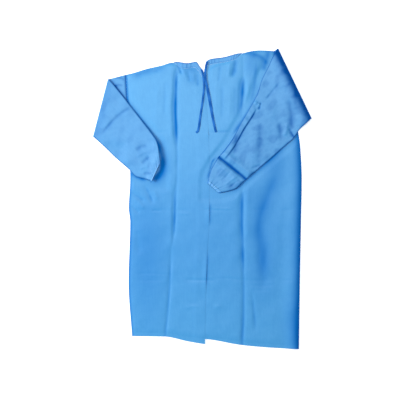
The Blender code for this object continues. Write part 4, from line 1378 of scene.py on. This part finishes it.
@dataclass
class Tie:
    """A narrow tie from the neck corner down over the back, as (x, y, width) rows."""

    name: str
    rows: tuple[tuple[float, float, float], ...]
    flat: tuple[float, float]

    def build(self) -> None:
        """Make the tie: a strip carried along its line, crowned, with its edges rolled a little."""
        table = np.array(self.rows, dtype=float)
        run = np.concatenate([[0.0], np.hypot(*np.diff(table[:, :2], axis=0).T).cumsum()])
        at = np.linspace(0, run[-1], 110)
        x, y, width = (Curve(run, column)(at) for column in table.T)
        along = np.stack([np.gradient(x), np.gradient(y)])
        along /= np.hypot(*along)
        across = np.linspace(-1, 1, 9)
        offset = across * width[:, None] / 2
        grid_x = x[:, None] - along[1][:, None] * offset
        grid_y = y[:, None] + along[0][:, None] * offset
        height = Body.surface(grid_x, grid_y).max(axis=1)
        height = np.maximum(height, 7.2 * ease((y - 470.0) / 36.0))
        height = np.max([np.pad(height, 3, mode="edge")[shift:shift + len(height)] for shift in range(7)], axis=0)
        height = height + 0.4 + 0.35 * (1 + np.sin(at / 23.0 + x[0]))
        crown = 0.5 + 0.7 * np.sqrt(np.clip(1 - across**2, 0.0, 1.0))
        upper = height[:, None] + crown
        lower = np.repeat(height[:, None], 9, axis=1)
        # Painted shade in soft bands along the tie
        painted_shade = np.repeat(0.3 * (1 + np.sin(at / 9.0))[:, None], 9, axis=1)
        outer = np.stack([grid_x, grid_y, upper], axis=-1)
        inner = np.stack([grid_x, grid_y, lower], axis=-1)
        cloth = Piece(self.name + "_cloth", Finish.TIE, "tie_cloth", self.name)
        cloth.shell(outer[:, ::-1], inner[:, ::-1], painted_shade)


@dataclass(frozen=True)
class Softbox:
    """A square soft light: where it stands, what it faces, its side in metres and its power."""

    name: str
    place: tuple[float, float, float]
    aim: tuple[float, float, float]
    side: float
    watts: float
    colour: str = "FFFFFF"

    def build(self) -> None:
        """Add the light, turned to its aim."""
        light = bpy.data.lights.new(self.name, "AREA")
        light.shape = "SQUARE"
        light.size = self.side
        light.energy = self.watts
        light.color = linear_colour(self.colour)[:3]
        lamp = bpy.data.objects.new(self.name, light)
        lamp.location = self.place
        lamp.rotation_euler = (Vector(self.aim) - Vector(self.place)).to_track_quat("-Z", "Y").to_euler()
        bpy.context.scene.collection.objects.link(lamp)


@dataclass
class Studio:
    """The plain floor, the soft lights and the camera straight above the gown."""

    floor_side: float = 30.0
    floor_colour: str = "FAFAF8"
    floor_glow: float = 0.4
    sky: float = 0.46
    sky_colour: str = "C4E0FF"
    field_width: float = 1.7266
    aim: Place = (-0.00993, -0.0043)
    lens: float = 85.0
    sensor: float = 36.0
    lights: tuple[Softbox, ...] = (
        Softbox("key", (-3.2, 0.3, 2.1), (0.1, 0.0, 0.0), 1.0, 133.0),
        Softbox("fill_over_neck", (-0.1, 1.0, 3.6), (0.0, 0.2, 0.0), 1.3, 66.0),
    )

    def build(self) -> None:
        """Make the stage."""
        self.floor()
        self.world()
        for light in self.lights:
            light.build()
        self.camera()
        bpy.context.scene.view_settings.view_transform = "Standard"

    def floor(self) -> None:
        """A matt pale floor just under the gown, lit a little from within like a light table."""
        half = self.floor_side / 2
        mesh = bpy.data.meshes.new("floor")
        corners = [(-half, -half, -0.0004), (half, -half, -0.0004), (half, half, -0.0004), (-half, half, -0.0004)]
        mesh.from_pydata(corners, [], [(0, 1, 2, 3)])
        material = bpy.data.materials.new("painted_floor")
        material.use_nodes = True
        shader = material.node_tree.nodes["Principled BSDF"]
        shader.inputs["Base Color"].default_value = linear_colour(self.floor_colour)
        shader.inputs["Roughness"].default_value = 0.9
        shader.inputs["Specular IOR Level"].default_value = 0.2
        shader.inputs["Emission Color"].default_value = linear_colour(self.floor_colour)
        shader.inputs["Emission Strength"].default_value = self.floor_glow
        mesh.materials.append(material)
        floor = bpy.data.objects.new("floor", mesh)
        bpy.context.scene.collection.objects.link(floor)

    def world(self) -> None:
        """An even white surround, which lights the gown softly from all sides."""
        world = bpy.data.worlds.new("studio")
        world.use_nodes = True
        background = world.node_tree.nodes["Background"]
        background.inputs["Color"].default_value = linear_colour(self.sky_colour)
        background.inputs["Strength"].default_value = self.sky
        bpy.context.scene.world = world

    def camera(self) -> None:
        """The camera straight above, as far off as its field of view asks."""
        data = bpy.data.cameras.new("camera")
        data.lens = self.lens
        data.sensor_width = self.sensor
        camera = bpy.data.objects.new("camera", data)
        camera.location = (*self.aim, self.field_width * self.lens / self.sensor)
        bpy.context.scene.collection.objects.link(camera)
        bpy.context.scene.camera = camera


def sleeves() -> list[Sleeve]:
    """Both sleeves, each from its armhole."""
    apart = 0.15
    left = (
        (Body.left_armhole_top[0] - apart, Body.left_armhole_top[1]),
        (Body.left_underarm[0] - apart, Body.left_underarm[1]),
    )
    right = (
        (Body.right_armhole_top[0] + apart, Body.right_armhole_top[1]),
        (Body.right_underarm[0] + apart, Body.right_underarm[1]),
    )
    return [
        Sleeve("left", LEFT_SLEEVE, left, LEFT_SLEEVE_CREASES, False, (0.562, 0.52), 0.193, (0.17, 0.0100)),
        Sleeve("right", RIGHT_SLEEVE, right, RIGHT_SLEEVE_CREASES, True, (0.72, 0.66), 0.256, (0.18, 0.0120)),
    ]


def bindings() -> list[Binding]:
    """The three stretches of binding round the neck."""
    return [
        Binding(
            "neck_binding_left",
            ((-122, -121, 591), (-108, -108, 592), (-68, -68, 586), (-36, -29, 592), (-19, -11, 572), (8, 6, 548)),
            Body.left_top,
            Body.left_panel,
            (0.16, 0.024),
            crosses_back=True,
        ),
        Binding(
            "neck_binding_right",
            ((15, 19, 596), (36, 36, 604), (94, 93, 612), (145, 150, 627), (168, 172, 630)),
            Body.right_top,
            Body.right_panel,
            (0.17, 0.022),
        ),
        Binding(
            "neck_binding_front",
            (
                (-128, -123, 590), (-98, -84, 548), (-44, -38, 521), (25, 25, 509), (94, 88, 530),
                (150, 134, 575), (176, 164, 624),
            ),
            Body.front_top,
            lambda x, y: SOLID_CLOTH + 0 * x,
            (0.36, 0.020),
            gather=0.0,
            thick=1.2,
            gap=1.6,
        ),
    ]


def ties() -> list[Tie]:
    """Both neck ties."""
    return [
        Tie(
            "neck_tie_left",
            (
                (-4, 559, 8), (2, 540, 8), (5, 518, 8), (8, 492, 8), (3, 436, 9), (-4, 385, 9), (-10, 345, 10),
                (-15, 308, 10), (-19, 293, 10), (-27, 286, 9),
            ),
            (0.010, 0.29),
        ),
        Tie(
            "neck_tie_right",
            (
                (21, 592, 9), (16, 574, 9), (13, 548, 9), (14, 518, 9), (19, 492, 10), (28, 446, 13),
                (36, 403, 13), (44, 356, 11), (56, 299, 10), (59, 288, 10),
            ),
            (0.0115, 0.32),
        ),
    ]


def main() -> None:
    """Dress the gown piece by piece, then set the stage."""
    logging.basicConfig(level=logging.INFO, format="%(message)s")
    log.info("frame: %d nodes", len(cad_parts))
    Panels().build()
    for part in [*sleeves(), *bindings(), *ties()]:
        part.build()
    Studio().build()


if __name__ == "__main__":
    main()
